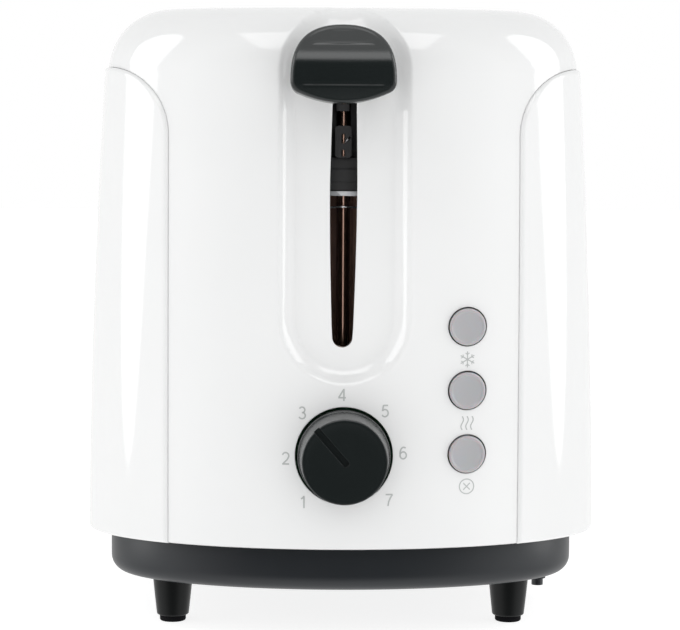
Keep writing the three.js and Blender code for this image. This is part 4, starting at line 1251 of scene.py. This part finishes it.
def build_slide():
    """The moulded slider on the rod, its metal frame, the wires in front of it, and the lever's stem."""
    low, high = box_mm("carriage")
    rod_low, rod_high = box_mm("guide_rod")
    rod_y = (rod_low[1] + rod_high[1]) / 2
    arm_low, arm_high = box_mm("lever_arm")
    face, rear = arm_high[1] + 0.3, rod_y + 5
    half, base, top = SLIDE_HALF, high[2] - SLIDE_HEIGHT, high[2]
    body = [
        block((-half, half), (face, rear), (base + 3.0, base + 7.0), 0.5, BLACK),
        block((-half, half), (face + 0.7, rear), (base, base + 3.4), 0.4, BLACK),
        block((-half, half), (face + 0.9, rear), (base + 6.6, base + 10.6), 0.6, BLACK),
        block((-half, -4.9), (face + 0.4, rear), (base + 10.2, top), 0.6, BLACK),
        block((4.9, half), (face + 0.4, rear), (base + 10.2, top), 0.6, BLACK),
        block((-5.4, 5.4), (rod_y + 2.6, rear), (base + 10.2, top), 0.4, BLACK),
    ]
    bore = circle(0, rod_y, rod_high[0] + 0.1, 48)
    for bush in body[:3]:
        subtract(bush, [upright_prism("bore_cut", bore, base - 2, top + 2)])
    slider = join(body, "slider")
    sharpen(slider, 40)
    lifter = -middle_mm("left_bread_lifter")[0]
    metal = [
        block((-half + 1, half - 1), (face - 0.2, rod_y - 2.6), (base - 1.5, base - 0.05), 0.25, GALVANISED),
        block((-lifter - 4, -lifter + 4), (rear, rod_y + 7.0), (low[2], base + 2), 0.3, GALVANISED),
        block((lifter - 4, lifter + 4), (rear, rod_y + 7.0), (low[2], base + 2), 0.3, GALVANISED),
        block((-lifter - 4, lifter + 4), (rod_y + 4.0, high[1]), (base, base + 8), 0.4, GALVANISED),
        block((low[0], -half + 1), (rod_y - 2.0, rod_y + 4.0), (base, base + 3), 0.3, GALVANISED),
        block((half - 1, high[0]), (rod_y - 3, rod_y + 3), (base + 8, base + 11), 0.4, GALVANISED),
    ]
    settle(join(metal, "carriage_frame"), "carriage_assembly", "galvanised_steel")
    settle(slider, "carriage_assembly", "black_plastic", "carriage")
    y, z = face + 0.2, base - 5.2
    hook_y, hook_z = arm_high[1] - 1.9, base + 15.4
    hook = [(0.1, hook_y, hook_z), (1.0, hook_y - 0.2, hook_z + 0.9), (2.0, hook_y, hook_z + 1.7)]
    wires = [
        tube("wire", [(-4.6, y, z), (0, y, z + 0.2), (4.6, y, z)], WIRE, STEEL),
        tube("wire", hook, 0.3, STEEL),
    ]
    for sign in (-1, 1):
        leg = [(sign * 4.6, y, z), (sign * 4.7, y + 0.4, z + 2.0), (sign * 4.4, y + 0.8, z + 4.4)]
        wires.append(tube("wire", leg, WIRE, STEEL))
    settle(join(wires, "clip_wires"), "carriage_assembly", "bright_steel")
    front, top = arm_high[1], arm_high[2]
    arm = [
        block((-1.5, 1.5), (arm_low[1], front - 0.6), (top - 8, top), 0.35, BLACK),
        block((-2.5, 1.7), (front - 2.2, front), (base + 25.4, top), 0.5, BLACK),
        clip_frame(front - 1.6, front, base + 10.6),
        block((-7.6, -4.6), (front - 1.2, front), (base + 16.2, top), 0.4, BLACK),
        block((4.6, 7.6), (front - 1.2, front), (base + 16.2, top), 0.4, BLACK),
        block((-7.6, 7.6), (front - 1.2, front), (top - 5, top), 0.4, BLACK),
    ]
    stem = join(arm, "lever_stem")
    sharpen(stem, 40)
    settle(stem, "carriage_assembly", "black_metal", "lever_arm")


GUIDE_RUNGS = 7
RUNG_WIRE = 0.8


def build_guides():
    """Smooth wire cages in place of the faceted ones."""
    frame_low, frame_high = box_mm("slot_frame")
    middle = (frame_low[1] + frame_high[1]) / 2
    long = (frame_high[1] - frame_low[1]) / 2 - BREAD_SLOT_END
    for side, face in (("left", "inner"), ("left", "outer"), ("right", "inner"), ("right", "outer")):
        guide = side + "_" + face
        low, high = box_mm(guide + "_bread_guide")
        x, wire = (low[0] + high[0]) / 2, (high[0] - low[0]) / 2
        z0, z1 = low[2] + wire, high[2] - wire
        top_rail = [(x, middle - long, z1), (x, middle, z1), (x, middle + long, z1)]
        pieces = [
            tube("wire", [(x, low[1], z0), (x, middle, z0), (x, high[1], z0)], wire, STEEL, 16),
            tube("wire", top_rail, wire, STEEL, 16),
        ]
        first = long - 3
        for y in np.linspace(middle - first, middle + first, GUIDE_RUNGS):
            pieces.append(tube("wire", [(x, y, z0), (x, y, (z0 + z1) / 2), (x, y, z1)], RUNG_WIRE, STEEL))
        cage = join(pieces, guide + "_guide_cage")
        sharpen(cage, 40)
        settle(cage, guide + "_guide", "bright_steel", guide + "_bread_guide")


def join(pieces, name):
    """One object from several, with their meshes together."""
    combined = bmesh.new()
    for piece in pieces:
        combined.from_mesh(piece.data)
    mesh = bpy.data.meshes.new(name)
    combined.to_mesh(mesh)
    combined.free()
    for material in pieces[0].data.materials:
        mesh.materials.append(material)
    for piece in pieces:
        bpy.data.objects.remove(piece)
    mesh.shade_smooth()
    whole = bpy.data.objects.new(name, mesh)
    bpy.context.scene.collection.objects.link(whole)
    return whole


def flat_band(path, width_axis, width, thickness):
    """A flat ribbon round a closed path, as a mesh patch: its width lies along width_axis."""
    path = np.asarray(path, float)
    tangent = np.roll(path, -1, axis=0) - np.roll(path, 1, axis=0)
    tangent /= np.linalg.norm(tangent, axis=1, keepdims=True)
    across = np.array(width_axis, float)
    outward = np.cross(tangent, across)
    outward /= np.linalg.norm(outward, axis=1, keepdims=True)
    corners = []
    for u, v in ((-1, -1), (1, -1), (1, 1), (-1, 1)):
        corners.append(path + across * width / 2 * u + outward * thickness / 2 * v)
    points = np.stack(corners, 1).reshape(-1, 3)
    count = len(path)
    faces = []
    for i in range(count):
        j = (i + 1) % count
        for k in range(4):
            m = (k + 1) % 4
            faces.append((i * 4 + k, j * 4 + k, j * 4 + m, i * 4 + m))
    return points, faces


HEATER_TURNS = 15
HEATER_RISE = 2.2
RIBBON = (1.1, 0.14)
RIB_PITCH = 2.6
RIB_DEPTH = 0.75


def build_heater_wires():
    """Flat resistance wire wound round each mica board, closer together towards the bottom."""
    for name in ("left", "centre", "right"):
        low, high = box_mm(name + "_heater")
        x = (low[0] + high[0]) / 2
        clear = (high[0] - low[0]) / 2 + 0.12
        y0, y1 = low[1] + 7, high[1] - 7
        middle = (y0 + y1) / 2
        patches = []
        for i in range(HEATER_TURNS):
            z = low[2] + 10 + (high[2] - low[2] - 22) * (i / (HEATER_TURNS - 1)) ** 1.12
            z_middle, z_far = z + HEATER_RISE / 4, z + HEATER_RISE / 2
            path = [
                (x - clear, y0, z), (x - clear, middle, z_middle), (x - clear, y1, z_far),
                (x + clear, y1, z_far), (x + clear, middle, z_middle), (x + clear, y0, z),
            ]
            patches.append(flat_band(path, (0, 0, 1), *RIBBON))
        wires = fix_outward(new_mesh(name + "_heater_wire", *merged(patches), NICHROME, smooth=False))
        settle(wires, "housing", "bright_steel")


def build_insulation_ribs():
    """The brown board behind the lever slot, pressed with upright ribs."""
    low, high = box_mm("insulating_sheet")
    xs = np.linspace(low[0], high[0], 181)
    wave = 0.5 + 0.5 * np.cos(2 * math.pi * xs / RIB_PITCH)
    front = low[1] + RIB_DEPTH * (1 - wave) ** 1.5
    outline = [(x, y) for x, y in zip(xs, front)] + [(high[0], high[1]), (low[0], high[1])]
    board = fix_outward(upright_prism("ribbed_insulation", outline, low[2], high[2]))
    board.data.materials.append(PHENOLIC)
    board.data.shade_smooth()
    sharpen(board, 50)
    settle(board, "housing", "phenolic", "insulating_sheet")


CAD_EDGE = 0.12


def soften_edges():
    """Small bevels on the CAD solids that stay in view."""
    for cad in NODES.values():
        if cad.hide_render:
            continue
        modifier = cad.modifiers.new("edge", "BEVEL")
        modifier.width = CAD_EDGE * MM
        modifier.segments = 2
        modifier.limit_method = "ANGLE"
        modifier.angle_limit = math.radians(50)


# ---- Scene ------------------------------------------------------------------------------------

FLOOR_HALF = 4000.0
FLOOR_TONE = 0.4
FLOOR_GLOW = 0.84


def build_floor():
    """Paper that gives off light of its own, so that it stays pale under the toaster."""
    half = FLOOR_HALF
    corners = [(-half, -half, 0), (half, -half, 0), (half, half, 0), (-half, half, 0)]
    floor = new_mesh("floor", corners, [(0, 1, 2, 3)])
    material = new_material("floor_paper", (FLOOR_TONE,) * 3, 0.9, Emission_Color=(1, 1, 1, 1),
                            Emission_Strength=FLOOR_GLOW)
    rough(material, noise(material, object_coordinates(material), 40, 3), 0.85, 0.95)
    floor.data.materials.append(material)
    floor.visible_glossy = False


def soft_box(name, location, target, size, radiance, shape="RECTANGLE", diffuse=True):
    """A flat lamp of an even brightness, given as radiance so that its size doesn't change its look."""
    light = bpy.data.lights.new(name, "AREA")
    light.shape = shape
    light.size, light.size_y = size[0] * MM, size[1] * MM
    area = light.size * light.size_y * (math.pi / 4 if shape == "ELLIPSE" else 1)
    light.energy = radiance * math.pi * area
    lamp = bpy.data.objects.new(name, light)
    bpy.context.scene.collection.objects.link(lamp)
    lamp.location = Vector(location) * MM
    direction = (Vector(target) - Vector(location)).normalized()
    lamp.rotation_euler = direction.to_track_quat("-Z", "Y").to_euler()
    lamp.visible_camera = False
    lamp.visible_diffuse = diffuse
    return lamp


ROOM_LEVEL = 1.02
DARK_LEVEL = 0.05
DARK_OUTSIDE = 0.93
DARK_INSIDE = 0.55


def build_world():
    """A white room that is darker towards the front. The camera itself sees plain white."""
    world = bpy.data.worlds.new("studio")
    bpy.context.scene.world = world
    world.use_nodes = True
    nodes, links = world.node_tree.nodes, world.node_tree.links
    room = nodes["Background"]
    backdrop = nodes.new("ShaderNodeBackground")
    backdrop.inputs["Color"].default_value = (1, 1, 1, 1)
    backdrop.inputs["Strength"].default_value = 1.0
    direction = nodes.new("ShaderNodeTexCoord")
    parts = nodes.new("ShaderNodeSeparateXYZ")
    links.new(direction.outputs["Generated"], parts.inputs["Vector"])
    darkening = nodes.new("ShaderNodeMapRange")
    darkening.interpolation_type = "SMOOTHSTEP"
    darkening.inputs["From Min"].default_value = -DARK_OUTSIDE
    darkening.inputs["From Max"].default_value = -DARK_INSIDE
    darkening.inputs["To Min"].default_value = DARK_LEVEL
    darkening.inputs["To Max"].default_value = ROOM_LEVEL
    links.new(parts.outputs["Y"], darkening.inputs["Value"])
    links.new(darkening.outputs["Result"], room.inputs["Strength"])
    room.inputs["Color"].default_value = (1, 1, 1, 1)
    rays = nodes.new("ShaderNodeLightPath")
    mix = nodes.new("ShaderNodeMixShader")
    links.new(rays.outputs["Is Camera Ray"], mix.inputs["Fac"])
    links.new(room.outputs["Background"], mix.inputs[1])
    links.new(backdrop.outputs["Background"], mix.inputs[2])
    links.new(mix.outputs["Shader"], nodes["World Output"].inputs["Surface"])


AIM_HEIGHT = 110
SIDE_AZIMUTHS = (-84.5, 89.0)
SIDE_DISTANCE = 1010
SIDE_HEIGHT = 515
SIDE_LEVEL = 3.0
TOP_LEVEL = 2.4
FILL_LEVEL = 1.22
GLOW_LEVEL = 1.9


def build_lights():
    """Side and top lamps for the reflections, a wide fill, and a glow behind the lever slot."""
    build_world()
    for azimuth in SIDE_AZIMUTHS:
        a = math.radians(azimuth)
        place = (SIDE_DISTANCE * math.sin(a), FRONT - SIDE_DISTANCE * math.cos(a), SIDE_HEIGHT)
        soft_box("side_box", place, (0, FRONT, AIM_HEIGHT), (560, 1300), SIDE_LEVEL, "ELLIPSE", False)
    soft_box("top_box", (0, FRONT - 500, 980), (0, FRONT, 150), (800, 560), TOP_LEVEL, diffuse=False)
    fill = soft_box("front_fill", (0, FRONT - 1500, 300), (0, FRONT, AIM_HEIGHT), (1700, 1700), FILL_LEVEL)
    fill.visible_glossy = False
    middle = (SLOT_BOTTOM + SLOT_TOP) / 2
    slot = (5, SLOT_TOP - SLOT_BOTTOM)
    soft_box("slot_glow", (0, FRONT + 8, middle), (0, FRONT + 30, middle), slot, GLOW_LEVEL)


CAMERA_ACROSS = -13.56
CAMERA_DISTANCE = 687.1
CAMERA_HEIGHT = 159.49
CAMERA_YAW, CAMERA_PITCH, CAMERA_ROLL = 1.01, 4.57, 0.29
LENS, SENSOR = 118.466, 36


def build_camera():
    """The camera, a little left of the middle, above the body's half height and turned slightly down."""
    data = bpy.data.cameras.new("camera")
    camera = bpy.data.objects.new("camera", data)
    bpy.context.scene.collection.objects.link(camera)
    camera.location = Vector((CAMERA_ACROSS, FRONT - CAMERA_DISTANCE, CAMERA_HEIGHT)) * MM
    turn = Matrix.Rotation(-math.radians(CAMERA_YAW), 4, "Z")
    turn @= Matrix.Rotation(math.pi / 2 - math.radians(CAMERA_PITCH), 4, "X")
    turn @= Matrix.Rotation(math.radians(CAMERA_ROLL), 4, "Z")
    camera.rotation_euler = turn.to_euler()
    data.sensor_fit = "HORIZONTAL"
    data.sensor_width = SENSOR
    data.lens = LENS
    bpy.context.scene.camera = camera
    bpy.context.scene.view_settings.view_transform = "Standard"


build_camera()
finish_cad_nodes()
build_shell()
build_side_panels()
build_base()
build_feet()
build_dial()
build_buttons()
build_lever_knob()
build_print()
build_spring()
build_guide_rod()
build_slide()
build_guides()
build_heater_wires()
build_insulation_ribs()
soften_edges()
build_floor()
build_lights()
